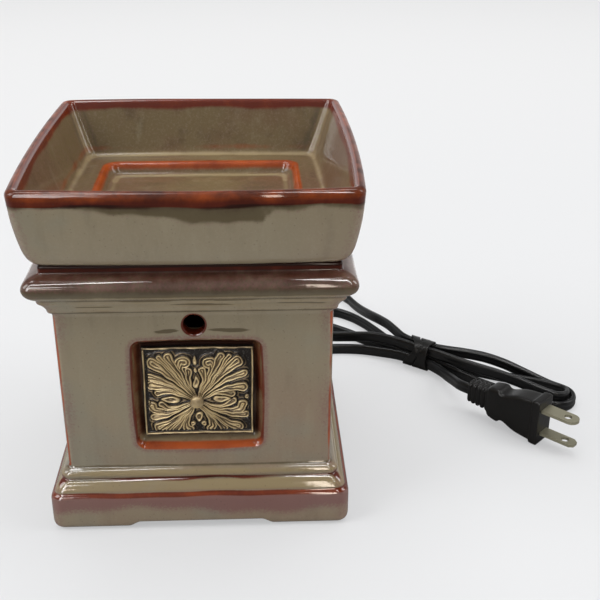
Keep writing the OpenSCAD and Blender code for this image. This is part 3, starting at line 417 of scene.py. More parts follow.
def makeGlaze(name, look):
    # the vertex attributes umber, pool, cream, plum, thin and dark say where the glaze changes, and deep
    # whether a thin place is amber (0) or dark red (1); dark also carries painted shade and cream painted
    # highlight; noise breaks their borders
    material, tree, shader = startMaterial(name)
    marks = placeMottle(tree, Patch_Size=look["patchSize"], Grain_Size=look["grainSize"],
                        Speck_Size=look["speckSize"])
    patches, grain, specks = (marks[key] for key in ("Patches", "Grain", "Specks"))
    place = objectPlace(tree)
    wide = noiseNode(place, 9.0, 2.0, 0.5)
    drawn = addNode(tree, "ShaderNodeMapping", Vector=place, Scale=look["runStretch"]).outputs[0]
    runs = noiseNode(drawn, 1.0, 3.0, 0.6)
    blots = noiseNode(place, 85.0, 4.0, 0.62)

    def share(value, low, high, most):
        return times(rampNode(value, low, high), most)

    def layer(attribute, noise, spread, low=0.2, high=0.8, most=1.0):
        broken = times(minus(noise, 0.5), spread)
        return share(plus(attributeNode(tree, attribute), broken), low, high, most)

    def coats(colour, laid):
        # each (amount, colour) lies over what is there
        for amount, over in laid:
            colour = mixColour(amount, colour, look[over] if isinstance(over, str) else over)
        return colour

    inside = coats(look["umber"], [
        (share(wide, 0.40, 0.62, 0.9), "umberRed"), (share(patches, 0.50, 0.66, 0.5), "umberRed"),
        (share(blots, 0.5, 0.72, 0.3), "dark")])
    # from the dark attribute: dark glaze and painted shade
    shade = layer("dark", blots, 0.6)
    colour = coats(look["stone"], [
        (share(wide, 0.42, 0.62, 0.8), "stoneWarm"),
        (share(patches, 0.48, 0.7, 0.6), "stoneCool"),
        (layer("umber", patches, 0.4), inside),
        (share(runs, 0.52, 0.78, 0.18), "paleRun"),
        (share(runs, 0.48, 0.25, 0.20), "darkRun"),
        (share(grain, 0.45, 0.75, 0.14), "paleGrain"),
        (layer("cream", blots, 0.9), "cream"),
        (layer("pool", blots, 1.0, most=0.95), "pool"),
        (layer("plum", grain, 0.9, most=0.85), "plum"),
        (layer("thin", blots, 0.55, 0.25, 0.75),
         coats(look["amber"], [(layer("deep", blots, 0.9, 0.05, 0.95), "red")])),
        (shade, "dark"),
        (times(specks, 0.3), "speck")])
    dull = mathNode("MAXIMUM", layer("umber", patches, 0.3, most=0.6),
                    times(shade, 0.85))
    bumped = bumpNode(blots, 0.14, 0.0003, Normal=bumpNode(wide, 0.25, 0.0006))
    setSockets(shader, Base_Color=colour, Roughness=look["roughness"], Specular_IOR_Level=look["specular"],
               Coat_Weight=minus(1.0, dull), Coat_Roughness=look["coatRoughness"],
               Coat_IOR=look["coatIor"], Normal=bumped, Coat_Normal=bumped)
    return material


glaze = makeGlaze("agedGlaze", glazeLook)
cordVinyl = plainMaterial("cordVinyl", (0.005, 0.005, 0.0052), 0.34, ior=1.42, grain=0.08)
moulding = plainMaterial("plugVinyl", (0.008, 0.0072, 0.0065), 0.38, ior=1.33, grain=0.3)
print("glaze and vinyl mixed")

pedestalSize = {
    "shaft": 55.6, "base": 63.3, "cap": 64.7, "seat": 58.4, "seatZ": 121.3, "shaftZ": 98.2,
    "cavity": 50.4, "opening": 46.5, "flange": 46.0, "flangeZ": 6.2, "lift": 0.5,
    "ventZ": 93.8, "ventRadius": 4.3, "ventLip": 0.9,
    "recessX": 0.5, "recessW": 52.4, "recessH": 50.2, "recessZ": 61.3, "recessD": 5.0, "recessBow": 0.9,
    "archHalf": (24.0, 31.2), "archRise": 2.3, "liningPush": 5.1,
    "sideSteps": 26, "frontSteps": 181, "cornerSteps": 10, "holeSteps": 8,
    # hanging glaze: middle, half length, height and half thickness
    "sags": [(-11.2, 6.4, 91.2, 1.0), (13.4, 11, 91.5, 1.15), (4, 17, 104.6, 0.75), (-38, 10, 103.4, 0.6),
             (42, 13, 104.8, 0.7), (-6, 40, 107.2, 0.5)],
}
dishSize = {"rim": 66.0, "height": 32.1, "bow": 2.0, "ledge": 7.7, "well": 43.6, "wellDepth": 5.0,
            "spigot": 45.0, "spigotDrop": 2.4, "ringGap": 0.75, "sideSteps": 56, "cornerSteps": 12,
            "rimWave": 0.28}


def squareRings(width, corner, height, bow, sides, arc):
    # four sides, each straight or bowed by bow * (1 - t * t), and quarter circles between them
    # sides holds the steps t from -1 to 1 of the right, back, left and front side
    width, corner, height, bow = (np.asarray(v, float)[:, None] for v in (width, corner, height, bow))
    flat = width - corner
    rings = []
    for k in range(4):
        t = np.asarray(sides[k])[None, :]
        x = np.concatenate([width + bow * (1 - t**2), flat + corner * np.cos(arc)[None, :]], 1)
        y = np.concatenate([t * flat, flat + corner * np.sin(arc)[None, :]], 1)
        c, s = round(math.cos(math.pi * k / 2)), round(math.sin(math.pi * k / 2))
        rings.append(np.stack([c * x - s * y, s * x + c * y, np.broadcast_to(height, x.shape)], -1))
    return np.concatenate(rings, 1)


def bump(value, centre, spread):
    # 1 at the centre, falling off as a bell
    return np.exp(-((value - centre) / spread) ** 2)


def rise(value, low, high):
    # smooth step from 0 at low to 1 at high
    u = np.clip((value - low) / (high - low), 0, 1)
    return u * u * (3 - 2 * u)


def most(*fields):
    # the largest of several fields, point by point
    return np.maximum.reduce(fields)


def offsets(*groups):
    # profile rows in groups, each given from a half width and a height
    return [[across + row[0], up + row[1], *row[2:]] for across, up, rows in groups for row in rows]


def makeDish(size):
    seatZ, rim, rimZ = pedestalSize["seatZ"], size["rim"], pedestalSize["seatZ"] + size["height"]
    spigot, well = size["spigot"], size["well"]
    ledgeZ, footZ = seatZ + size["ledge"], seatZ - size["spigotDrop"]
    wellZ = ledgeZ - size["wellDepth"]
    # rows of half width, height, corner radius and share of the bow
    outer = offsets(
        (0, footZ, [(0.3, 0, 0.25, 0), (12, 0, 5, 0)]),
        (spigot, footZ, [(-1.4, 0, 6.4, 0), (-0.4, 0.4, 7, 0), (0, 1.3, 7.2, 0)]),
        (spigot, seatZ, [(0, 1.5, 7.2, 0), (4.4, 1.5, 8, 0), (5, 1.1, 8, 0), (5.4, 0, 8, 0.2)]),
        (rim, seatZ, [(-9.4, 0, 5, 0.5), (-7.4, 0.4, 4.6, 0.6), (-5.6, 1.6, 4.4, 0.7), (-4.2, 3.6, 4.4, 0.8),
                      (-3.1, 6.7, 4.4, 0.85), (-2.2, 10.7, 4.4, 0.9), (-1.3, 15.7, 4.4, 0.95),
                      (-0.6, 20.7, 4.4, 1), (-0.2, 25.7, 4.4, 1)]),
        (rim, rimZ, [(0, -3.2, 4.4, 1), (0, -1.8, 4.4, 1), (-0.5, -0.7, 4.2, 1), (-1.4, -0.1, 3.8, 1),
                     (-2.4, 0, 3.4, 1)]))
    inner = offsets(
        (rim, rimZ, [(-3.4, -0.3, 3, 1), (-4.1, -1.1, 2.8, 1), (-4.5, -2.2, 2.8, 1), (-5.6, -5.4, 2.9, 1),
                     (-7.6, -11.4, 3.2, 1), (-9.6, -17.4, 3.6, 0.95)]),
        (rim, ledgeZ, [(-11, 3, 4, 0.9), (-11.8, 1.3, 4.2, 0.8), (-13.2, 0.3, 4.4, 0.7), (-15, 0, 4.6, 0.5)]),
        (well, ledgeZ, [(1.8, 0, 6.6, 0.2), (0.5, -0.3, 6, 0.1), (-0.4, -1.1, 5.4, 0), (-0.9, -2.2, 5, 0)]),
        (well, wellZ, [(-1.7, 1.2, 4.6, 0), (-2.4, 0.4, 4.4, 0), (-3.6, 0, 4, 0)]),
        (0, wellZ, [(10, 0, 4, 0), (0.3, 0, 0.25, 0)]))
    rows = denseProfile(outer + inner, size["ringGap"])
    turning = len(denseProfile(outer, size["ringGap"]))      # the row where the outside becomes the inside
    side = np.linspace(-1, 1, size["sideSteps"])
    arc = np.radians(np.linspace(0, 90, size["cornerSteps"]))[1:-1]
    grid = squareRings(rows[:, 0], rows[:, 2], rows[:, 1], size["bow"] * rows[:, 3], [side] * 4, arc)
    z = grid[..., 2]
    # hand-made unevenness: the rim's line waves a little
    high = rise(z, seatZ + 12, rimZ)
    grid[..., 2] = z + size["rimWave"] * high * np.sin(grid[..., 0] / 23 + 0.8) * np.cos(grid[..., 1] / 31)
    isOuter = (np.arange(len(rows)) < turning)[:, None] * np.ones(grid.shape[1])
    isInner = 1 - isOuter
    fromRim = rimZ - z
    x, y, w = grid[..., 0], grid[..., 1], np.broadcast_to(rows[:, :1], z.shape)
    # the band under the rim, and below it a dark run that deepens to the right and stops
    band = 5.3 + 0.35 * np.sin(x / 11 + y / 13) + 0.25 * np.sin(x / 4.7 + y / 5.3)
    run = 0.5 + 6.4 * rise(x, -58, 24) * (1 - rise(x, 27, 32)) + 1.5 * rise(x, 27, 32)
    run = np.where(y < -48, run, 1.4 + 1.2 * np.sin(y / 17 + x / 23))
    run = run + 0.6 * np.sin(x / 5.1 + y / 6) + 0.35 * np.sin(x / 2.1 + 1)
    corner = np.minimum(np.abs(x), np.abs(y))
    wall, low = isInner * (z > ledgeZ + 1.5), isInner * (fromRim > 20)
    thin = most(isOuter * 1.1 * rise(-fromRim, -band - 0.7, -band + 0.5),
                isInner * rise(-fromRim, -6.4 + np.sin(x / 7 + y / 9), -0.9) * 1.05,
                low * (1.25 * bump(w, well + 0.3, 1.9) - 0.2),
                wall * bump(z, ledgeZ + 3.4, 2.2) * (0.34 + 0.1 * np.sin(x / 13)))
    deep = isOuter * (0.40 + 0.55 * rise(fromRim, 1.8, 4.6)) + isInner * np.where(fromRim > 12, 0.42, 0.85)
    plum = most(isInner * (0.16 + 0.16 * rise(np.abs(x), w - 14, w)),
                isOuter * rise(corner, w - 12, w - 1) * 0.42,
                isOuter * bump(fromRim, band + run + 0.4, 0.9) * 0.35)
    pool = most(isOuter * rise(-fromRim, -band - run - 1.9, -band - run + 1.9) * 0.86,
                isInner * (w < well - 4) * (w > 3) * 0.32,
                wall * rise(corner, w - 9, w - 5) * (1 - rise(corner, w - 5, w - 3.4)) * 0.62)
    # cream: pale lines along the ledge, round the well's floor fillet and down the wall corners are painted
    # highlight
    cream = most(isInner * (z < ledgeZ + 3) * bump(w, rim - 12.9, 1.3) * (0.6 + 0.2 * (y > 45)),
                 wall * rise(corner, w - 4.2, w - 2.8) * 0.5,
                 low * bump(w, well - 4.6, 1.7) * (0.55 + 0.4 * (y > 30)),
                 low * bump(w, well + 4.6, 1.8) * 0.3)
    umber = isInner * rise(fromRim, 0.6, 2.2) * 1.1
    # dark: darker along the lower edge of the rim's band and in the run; painted shade on the underside below
    # the seat and at its middle
    dark = isOuter * bump(fromRim, band + 0.1, 1.0) * (0.66 + 0.2 * np.sin(x / 9 - 1))
    dark = most(dark + isOuter * (z < seatZ + 1) * 0.6, pool * isOuter * (0.42 - 0.05 * (fromRim - band)))
    # each field with its values at the middle of the underside and of the well
    fields = {"thin": (thin, 0, 0), "plum": (plum, 0, 0.1), "pool": (pool, 0, 0.3), "dark": (dark, 0.6, 0),
              "cream": (cream, 0, 0), "umber": (umber, 0, 1), "deep": (deep, 0, 0)}
    return cappedTube("dishGlazed", grid, (0, 0, footZ), (0, 0, wellZ), attributes={
        key: np.r_[field.ravel(), under, up] for key, (field, under, up) in fields.items()})


dish = makeDish(dishSize)
print("dish thrown:", len(dish.data.polygons), "faces")


def pedestalProfile(size):
    # rows of half width, height and corner radius, up the outside and down the inside
    base, shaft, shaftZ, cap, seat, seatZ, lift, cavity, opening, flange, flangeZ = (size[key] for key in (
        "base", "shaft", "shaftZ", "cap", "seat", "seatZ", "lift", "cavity", "opening", "flange", "flangeZ"))
    foot = offsets(
        (base, lift, [(-2.4, 0, 3.2), (-1.3, 0.4, 3.8), (-0.4, 1.5, 4.4), (0, 3.2, 4.8)]),
        (base, 0, [(0, 14.4, 4.8), (-0.2, 15.8, 4.6), (-0.8, 16.8, 4.2), (-1.4, 17.3, 4), (-1.9, 18.8, 3.8),
                   (-3, 20.6, 3.6), (-4.3, 22, 3.4), (-5.4, 22.6, 3.2), (-4.9, 23.2, 3.4), (-4.6, 24.3, 3.5),
                   (-4.9, 25.5, 3.4), (-5.7, 26.5, 3.2)]),
        (shaft, 0, [(0.9, 27, 3), (0.3, 27.5, 2.8)]))
    wall = [[shaft, z, 2.8] for z in np.linspace(28.6, shaftZ, 110)]
    crown = offsets(
        (shaft, shaftZ, [(0.3, 1.1, 2.8), (0.9, 1.9, 2.8), (1.6, 2.3, 2.9), (1.8, 3.3, 2.9), (2.6, 4.9, 3),
                         (3.8, 6.6, 3.1), (4.7, 7.5, 3.2), (4.9, 8.7, 3.2), (5.6, 9.6, 3.2)]),
        (cap, shaftZ, [(-2.2, 10.5, 3.2), (-0.9, 11.9, 3.2), (-0.2, 13.5, 3.2), (0, 15, 3.2), (-0.4, 16.4, 3),
                       (-1.4, 17.7, 2.8), (-3, 18.8, 2.6), (-4.9, 19.5, 2.2)]),
        (seat, shaftZ, [(0.2, 19.8, 1.6), (0, 20.2, 1.4)]),
        (seat, seatZ, [(0, -0.9, 1.4), (-0.3, -0.2, 1.6), (-0.9, 0, 1.8)]))
    inside = offsets(
        (opening, seatZ, [(1.1, 0, 8.6), (0.3, -0.3, 8.2), (0, -1.1, 8), (0, -4.6, 8), (0.8, -5.7, 8.4)]),
        (cavity, seatZ, [(-1.4, -6.4, 8), (-0.4, -7.6, 7.4)]))
    hollow = [[cavity, z, 7] for z in np.linspace(seatZ - 9.4, 33, 84)]
    bottom = offsets(
        (cavity, 0, [(1.4, 28.4, 7), (4.1, 24.6, 6.6)]),
        (cavity, flangeZ, [(4.1, 3, 6.4), (3.5, 2.4, 6.2)]),
        (flange, flangeZ, [(0, 2.4, 8), (0, 0, 8)]),
        (cavity, flangeZ, [(2.0, 0, 5)]),
        (cavity, lift, [(2.0, 0.6, 5), (2.6, 0, 5.2)]))
    outside = np.vstack([denseProfile(foot + wall[:1], 0.7)[:-1], wall,
                         denseProfile(wall[-1:] + crown, 0.7)[1:]])
    within = np.vstack([denseProfile(inside + hollow[:1], 1.5)[:-1], hollow,
                        denseProfile(hollow[-1:] + bottom, 2.5)[1:]])
    return outside, within


def roundedBox(x, z, halfW, halfH, corner):
    # signed distance to a rectangle with round corners, below zero inside
    qx, qz = np.abs(x) - halfW + corner, np.abs(z) - halfH + corner
    return np.hypot(np.maximum(qx, 0), np.maximum(qz, 0)) + np.minimum(np.maximum(qx, qz), 0) - corner


def openVent(x, z, rowAt, columnAt, half, radius, centre, reach):
    # grid lines round the vent are drawn onto circles: (a, b) counts steps from the middle in halves of the
    # hole, and m = 1 is its edge
    a = (np.arange(x.shape[1]) - columnAt)[None, :] / half
    b = (np.arange(x.shape[0]) - rowAt)[:, None] / half * (1 if z[1, 0] > z[0, 0] else -1)
    m = np.maximum(np.abs(a), np.abs(b))
    size = np.maximum(np.hypot(a, b), 1e-6)
    share = 1 - rise(m, 1, reach)
    return x + share * (radius * a / size - x), z + share * (centre + radius * b / size - z), m


def makePedestal(size):
    outside, within = pedestalProfile(size)
    coarse, fine = np.linspace(-1, 1, size["sideSteps"]), np.linspace(-1, 1, size["frontSteps"])
    arc = np.radians(np.linspace(0, 90, size["cornerSteps"]))[1:-1]
    steps = [coarse, coarse, coarse, fine]
    first = 3 * (len(coarse) + len(arc))                     # where the front side's columns start
    front = slice(first, first + len(fine))
    shell = squareRings(outside[:, 0], outside[:, 2], outside[:, 1], 0 * outside[:, 0], steps, arc)
    lining = squareRings(within[:, 0], within[:, 2], within[:, 1], 0 * within[:, 0], steps, arc)
    half, middle = size["holeSteps"], len(fine) // 2         # half the hole in grid steps, and its column
    ventZ, ventRadius, ventLip = size["ventZ"], size["ventRadius"], size["ventLip"]
    # vent through the front, outside and inside
    x, z = shell[:, front, 0].copy(), shell[:, front, 2].copy()
    ventRow = int(np.argmin(np.abs(outside[:, 1] - ventZ)))
    x, z, ring = openVent(x, z, ventRow, middle, half, ventRadius + ventLip, ventZ, 1.55)
    near = (ring < 2) & (np.abs(np.arange(len(outside)) - ventRow)[:, None] <= 3 * half)
    rowsUp = int(np.argmax(outside[:, 1] > size["shaftZ"] + 15))
    y = -np.interp(z, outside[:rowsUp, 1], outside[:rowsUp, 0])
    for column, moved in enumerate((x, y, z)):
        shell[:, front, column] = np.where(near, moved, shell[:, front, column])
    inRow = int(np.argmin(np.abs(within[:, 1] - ventZ)))
    xi, zi, inRing = openVent(lining[:, front, 0].copy(), lining[:, front, 2].copy(), inRow, middle, half,
                              ventRadius, ventZ, 1.7)
    inNear = (inRing < 2) & (np.abs(np.arange(len(within)) - inRow)[:, None] < 2 * half)
    lining[:, front, 0] = np.where(inNear, xi, lining[:, front, 0])
    lining[:, front, 2] = np.where(inNear, zi, lining[:, front, 2])
    # tile recess: pushed back along a smooth wall, with sides that bow outward
    fx, fz = shell[:, front, 0] - size["recessX"], shell[:, front, 2] - size["recessZ"]
    halfW, halfH, bow = size["recessW"] / 2, size["recessH"] / 2, size["recessBow"]
    away = roundedBox(fx, fz, halfW + bow * (1 - (fz / halfH) ** 2),
                      halfH + bow * (1 - (fx / halfW) ** 2), 3.4)
    away = np.where(np.abs(fz) < 40, away, 40)
    shell[:, front, 1] += size["recessD"] * rise(-away, -0.55, 3.7)
    ix, iz = lining[:, front, 0], lining[:, front, 2] - size["recessZ"]
    pad = roundedBox(ix, iz, halfW + 1.5, halfH + 1.5, 4)
    lining[:, front, 1] += size["liningPush"] * rise(-pad, -2.5, 0.5)
    # four low arches: the lowest rows are lifted, the rows above squeezed
    archTop = 6
    for surface in (shell, lining):
        for column, other in ((0, 1), (1, 0)):
            along, out = surface[..., column], np.abs(surface[..., other])
            lift = size["archRise"] * rise(-np.abs(along), -size["archHalf"][1], -size["archHalf"][0] - 1.6)
            low = (surface[..., 2] < archTop) & (out > 50) & (np.abs(along) < 40)
            share = (archTop - surface[..., 2]) / (archTop - size["lift"])
            surface[..., 2] += np.where(low, lift * np.clip(share, 0, 1), 0)
    # where the glaze runs thin, turns plum, pools or stays dark, and where painted shade darkens it
    w, z = np.broadcast_to(outside[:, :1], shell.shape[:2]), shell[..., 2]
    x, y = shell[..., 0], shell[..., 1]
    corner = np.minimum(np.abs(x), np.abs(y))                # distance of the nearer side from the middle
    edge = rise(corner, w - 1.6, w - 0.4)
    sway = 0.5 * np.sin(x / 9 + 1) + 0.4 * np.sin(x / 4.3)
    lid, seatZ, footTop = size["shaftZ"], size["seatZ"], 27.5
    belowSeat, onFoot = z < seatZ - 2.8, z < footTop
    # distances from the recess's edge and from the vent's, then the recess's ledge and its sides
    ridge, ventEdge = np.full(z.shape, 40.0), np.full(z.shape, 9.0)
    ridge[:, front] = away
    ventEdge[:, front] = np.hypot(shell[:, front, 0], shell[:, front, 2] - ventZ) - ventRadius - 0.5
    below, beside = rise(-z, -42, -36), np.full(z.shape, False)
    beside[:, front] = np.abs(fx) > halfW - 3.6
    onShaft = (z > footTop) & (z < 99)
    thin = most(
        1.35 * bump(z, 16.9 + 0.3 * sway, 0.95) - 0.1,
        bump(z, 22.7 + 0.5 * sway, 0.75) * (0.95 + 0.45 * np.sin(x / 13 + 2)),
        1.3 * rise(z, seatZ - 3.1, seatZ - 2.6) - 0.1,
        rise(z, 113.5, 117) * belowSeat * 0.44,
        rise(corner, w - 2.0, w - 0.8) * onShaft
        * (0.72 + 0.22 * np.sin(z / 8 + x / 30) + 0.12 * np.sin(z / 2.9)),
        edge * onFoot * rise(z, 14, 16.5) * 1.05,
        edge * rise(z, 105, 110) * 0.75,
        rise(corner, w - 3.6, w - 1.2) * bump(z, 22.6, 2.4),
        bump(ridge, -0.3 - 0.5 * below, 0.6 + 0.7 * below) * (0.9 + 0.2 * below),
        rise(-ridge, 0.6, 1.4) * rise(ridge, -5.5, -4) * beside * (1 - below) * (0.46 + 0.14 * (z > 62)),
        bump(ventEdge, 0, 0.5) * 0.95)
    redness = np.where(z > 110, 0.95, np.where(z > footTop, 0.4, 0.92 - 0.2 * bump(z, 16.9, 1.2)))
    redness = np.where(ridge < 3, 0.95 - 0.65 * below, np.where(ventEdge < 2, 0.95, redness))
    hem = 9.8 + 1.9 * np.sin(x / 17 + y / 15 + 1) + 0.7 * np.sin(x / 4.1 + 2)
    plum = most(
        rise(z, hem - 6, hem + 5) * (z < 17.5),
        rise(z, 111, 114) * belowSeat * 0.5,
        rise(corner, w - 13, w - 1) * (0.38 + 0.1 * np.sin(z / 7)),
        rise(corner, w - 3.4, w - 0.8) * (z < 17) * 0.7,
        bump(ridge, 0.8, 1.8) * 0.55)
    # sags: lens shapes where the glaze hung before it set, beside the vent and in the cove
    sag = np.zeros(z.shape)
    for at, long, height, thick in size["sags"]:
        lens = 1 - ((x - at) / long) ** 2 - ((z - height - 0.3 * np.cos(x / 6)) / thick) ** 2
        sag = np.maximum(sag, rise(lens, 0, 0.75) * (y < -50))
    pool = most(
        bump(z, lid + 2.3, 0.5) * 1.1, bump(z, lid + 9.2, 0.6) * 0.8, bump(z, 27.4, 0.5) * 0.8,
        rise(z, 108.5, 110.5) * belowSeat * (0.85 - 0.12 * rise(z, 112, 114.5)),
        bump(z, 22.9, 0.9) * bump(x, 4, 16) * 0.9, sag)
    cream = most(
        rise(z, 17.7, 18.8) * (z < 22.2) * (0.72 + 0.12 * np.sin(x / 17)),
        bump(z, 25.3, 1.5) * (0.80 + 0.12 * np.sin(x / 14 + 2)),
        bump(z, lid + 7.9, 0.55) * 0.55, bump(z, lid + 3.4, 0.5) * 0.5,
        (ridge < -0.8) * (z < 42) * 0.5)
    umber = (ridge < -0.6) * 0.9
    dark = most(
        # painted shade on the seat band under the dish, deepest at its top; below it, darker towards the
        # cap's top
        rise(z, seatZ - 3.4, seatZ - 2.4) * 0.45 + rise(z, seatZ - 1.6, seatZ - 0.8) * 0.4
        + rise(z, 109, 112) * belowSeat * 0.36,
        # painted shade on the recess's top and side walls, a little less on the sides
        rise(-ridge, 0.9, 2.6) * np.where(beside, 0.62, 0.95) * (1 - below),
        bump(z, 22.9, 0.5) * bump(x, 2, 12) * 0.7)
    # join: outside and lining as one closed grid with two holes, and the vent's tube between them
    grid = np.concatenate([shell, lining])
    rows, columns = grid.shape[:2]
    faces = gridFaces(rows, columns, closeRows=True)
    i, j = faces[:, 0] // columns, faces[:, 0] % columns
    inHole = (np.abs(i + 0.5 - ventRow) < half) | (np.abs(i + 0.5 - inRow - len(outside)) < half)
    faces = faces[~(inHole & (np.abs(j + 0.5 - first - middle) < half))]
    turn = np.arange(half * 8)
    square = np.abs((turn + half * np.array([[7], [5]])) % (8 * half) - 4 * half) - 2 * half
    square = np.clip(square, -half, half)
    ringOut = (ventRow + square[1]) * columns + first + middle + square[0]
    ringIn = (inRow + len(outside) - square[1]) * columns + first + middle + square[0]
    where = grid.reshape(-1, 3)
    angle = np.arctan2(where[ringOut][:, 2] - ventZ, where[ringOut][:, 0])
    # the tube's rings: round the lip by sixths of a quarter circle, then one at the lining
    lip = [(ventRadius + ventLip * (1 - math.sin(a)), -size["shaft"] + ventLip * (1 - math.cos(a)))
           for a in np.radians([15, 30, 45, 60, 75, 90])]
    tube = [np.column_stack([reach * np.cos(angle), 0 * angle + depth, ventZ + reach * np.sin(angle)])
            for reach, depth in lip + [(ventRadius, -size["cavity"] - 0.6)]]
    count = rows * columns
    loops = [ringOut] + [count + k * len(turn) + turn for k in range(len(tube))] + [ringIn]
    strips = [np.column_stack([a, np.roll(a, -1), np.roll(b, -1), b]) for a, b in zip(loops[:-1], loops[1:])]
    # each field with its values on the lining and in the vent's tube
    fields = {"thin": (thin, 0, 0.8), "deep": (redness, 0, 1), "plum": (plum, 0.1, 0), "pool": (pool, 0, 0),
              "dark": (dark, 0.35, 0.1), "cream": (cream, 0, 0), "umber": (umber, 0.6, 0)}
    lined, lipped = np.ones(lining[..., 0].size), np.ones(len(tube) * len(turn))
    values = {key: np.r_[field.ravel(), lined * inner, lipped * vent]
              for key, (field, inner, vent) in fields.items()}
    return makeMesh("pedestalGlazed", np.vstack([where] + tube), np.vstack([faces] + strips),
                    attributes=values)


pedestal = makePedestal(pedestalSize)
print("pedestal cast:", len(pedestal.data.polygons), "faces")

tileSize = {"width": 45.4, "height": 41.4, "thick": 2.2, "dome": 1.4, "relief": 1.25, "back": -50.6,
            "x": 0.5, "z": 61.2, "boss": (-0.6, -4.2), "bossRadius": 2.75, "bossLift": 0.7, "rough": 0.025,
            "step": 0.16, "headGrowth": 1.3, "leafSwell": 1.25, "lineGap": 1.3, "firstLine": 0.46}
# every leaf is a line of points from the boss, after the half width of its head
leaves = [
    (2.1, [(-0.5, 2.4), (-2.6, 7), (-5.4, 11.4), (-7.2, 15.2), (-6.2, 18.4), (-5, 18)]),
    (2.0, [(0.5, 2.4), (2.4, 7), (4.9, 11.4), (6.6, 15), (5.7, 18), (4.6, 17.6)]),
    (1.3, [(-0.3, 2.8), (-2.2, 7.4), (-3.6, 11), (-3.3, 14.2)]),
    (1.3, [(0.4, 2.8), (1.9, 7.4), (3, 11), (2.3, 14.4)]),
    (1.7, [(-2.4, 1.2), (-7.5, 4.4), (-13, 7), (-18.7, 7.6)]),
    (1.2, [(-2.6, 0.8), (-7.5, 3.2), (-12, 4.6), (-16, 4.2)]),
    (1.7, [(-2.4, -0.9), (-7.5, -3.8), (-13, -5), (-17.6, -4.2), (-18.6, -2.2)]),
    (1.1, [(-2.6, -0.5), (-7.5, -2.3), (-12, -3), (-14.8, -1.4)]),
    (1.7, [(2.4, 1.2), (7.5, 4.2), (13, 6.2), (19, 6.2)]),
    (1.2, [(2.6, 0.8), (6.5, 2.8), (10, 4), (14.4, 3.2)]),
    (1.7, [(2.4, -0.9), (7.5, -3.8), (13, -5), (17.8, -4.2), (18.9, -2)]),
    (1.2, [(2.6, -0.5), (7, -2.2), (11.5, -2.2), (15.2, -0.2)]),
    (1.6, [(-0.6, -2.2), (-2.8, -6.4), (-4.6, -10.4), (-4.9, -13), (-3.6, -14.4)]),
    (1.6, [(0.6, -2.2), (3.8, -6.4), (6, -10.2), (6.4, -12.6), (5.4, -13.8)]),
    (1.4, [(-0.9, 1.9), (-4.6, 8.6), (-8.2, 15), (-11.6, 20.6)]),
    (2.0, [(-1.5, 1.9), (-7, 8.2), (-12.6, 13.8), (-18, 18)]),
    (1.4, [(-1.9, 1.5), (-8, 6.4), (-14, 9.8), (-19.7, 11.6)]),
    (1.3, [(0.9, 1.9), (4.2, 8.8), (7.2, 15.2), (9.9, 20.8)]),
    (2.0, [(1.5, 1.9), (6.6, 8.2), (11.6, 14), (16.4, 18.2)]),
    (1.4, [(1.9, 1.5), (8, 6.8), (13.6, 10.6), (19.2, 12.8)]),
    (0.9, [(1.2, 2), (5.4, 8.6), (9.6, 15), (13.2, 20.8)]),
    (0.9, [(-1.2, 2), (-5.8, 8.6), (-10.6, 15), (-15.2, 20.6)]),
    (1.3, [(-1.9, -1.3), (-8, -4.9), (-13, -6.9), (-18, -7.8)]),
    (1.8, [(-1.5, -1.7), (-6.4, -6.4), (-11.4, -10.4), (-16.2, -12.9)]),
    (1.2, [(-1.1, -2), (-4.8, -7.4), (-7.4, -11.4), (-9.2, -14.2)]),
    (1.3, [(1.9, -1.3), (8, -4.7), (14, -6.7), (20, -7.2)]),
    (1.8, [(1.5, -1.7), (6.8, -6.4), (12, -10.6), (16.8, -13)]),
    (1.3, [(1.1, -2), (5.6, -7), (8.8, -11), (11.2, -13.9)]),
    (0.9, [(-1.3, -1.9), (-5.6, -6.9), (-9.6, -11.2), (-12.6, -14.2)]),
]
# drops inside the four hearts: centre, half length, half width, turn in degrees
drops = [[(-0.3, 9.0), 3.2, 1.2, 90], [(-10.9, 0.9), 4.4, 1.5, 180], [(10.4, 1.0), 4.0, 1.4, 0],
         [(0.7, -7.8), 2.7, 1.5, 270], [(-0.8, 18.8), 2.2, 0.8, 90], [(-1.9, -11.4), 1.3, 1.1, 240],
         [(2.9, -11.2), 1.3, 1.1, 300],
         [(-0.4, 14.6), 1.2, 0.7, 90], [(-20, -0.2), 0.9, 0.8, 0], [(20.6, 1.8), 1.2, 1.0, 20]]


def leafField(x, y, head, points):
    # distance to the leaf's line less the half width there, which grows from boss to head; below zero inside
    stem, full = 0.3 if head > 1.5 else 0.25 if head > 1 else 0.2, head * tileSize["headGrowth"]
    spine = smoothPath(points, 1.2)
    walked = np.r_[0, np.cumsum(np.linalg.norm(np.diff(spine, axis=0), axis=1))]
    best = np.full(x.shape, 1e3)
    for k in range(len(spine) - 1):
        a, d = spine[k], spine[k + 1] - spine[k]
        u = np.clip(((x - a[0]) * d[0] + (y - a[1]) * d[1]) / (d @ d), 0, 1)
        along = (walked[k] + u * (walked[k + 1] - walked[k])) / walked[-1]
        gap = np.hypot(x - a[0] - u * d[0], y - a[1] - u * d[1])
        best = np.minimum(best, gap - (stem + (full - stem) * along ** tileSize["leafSwell"]))
    return best


def contour(depth):
    # raised lines one behind the other inside an outline: the first line's depth, then one each gap
    wave = 0.64 + 0.36 * np.cos(2 * math.pi * (depth - tileSize["firstLine"]) / tileSize["lineGap"])
    return np.where(depth > -0.12, wave * rise(depth, -0.12, 0.3), 0)


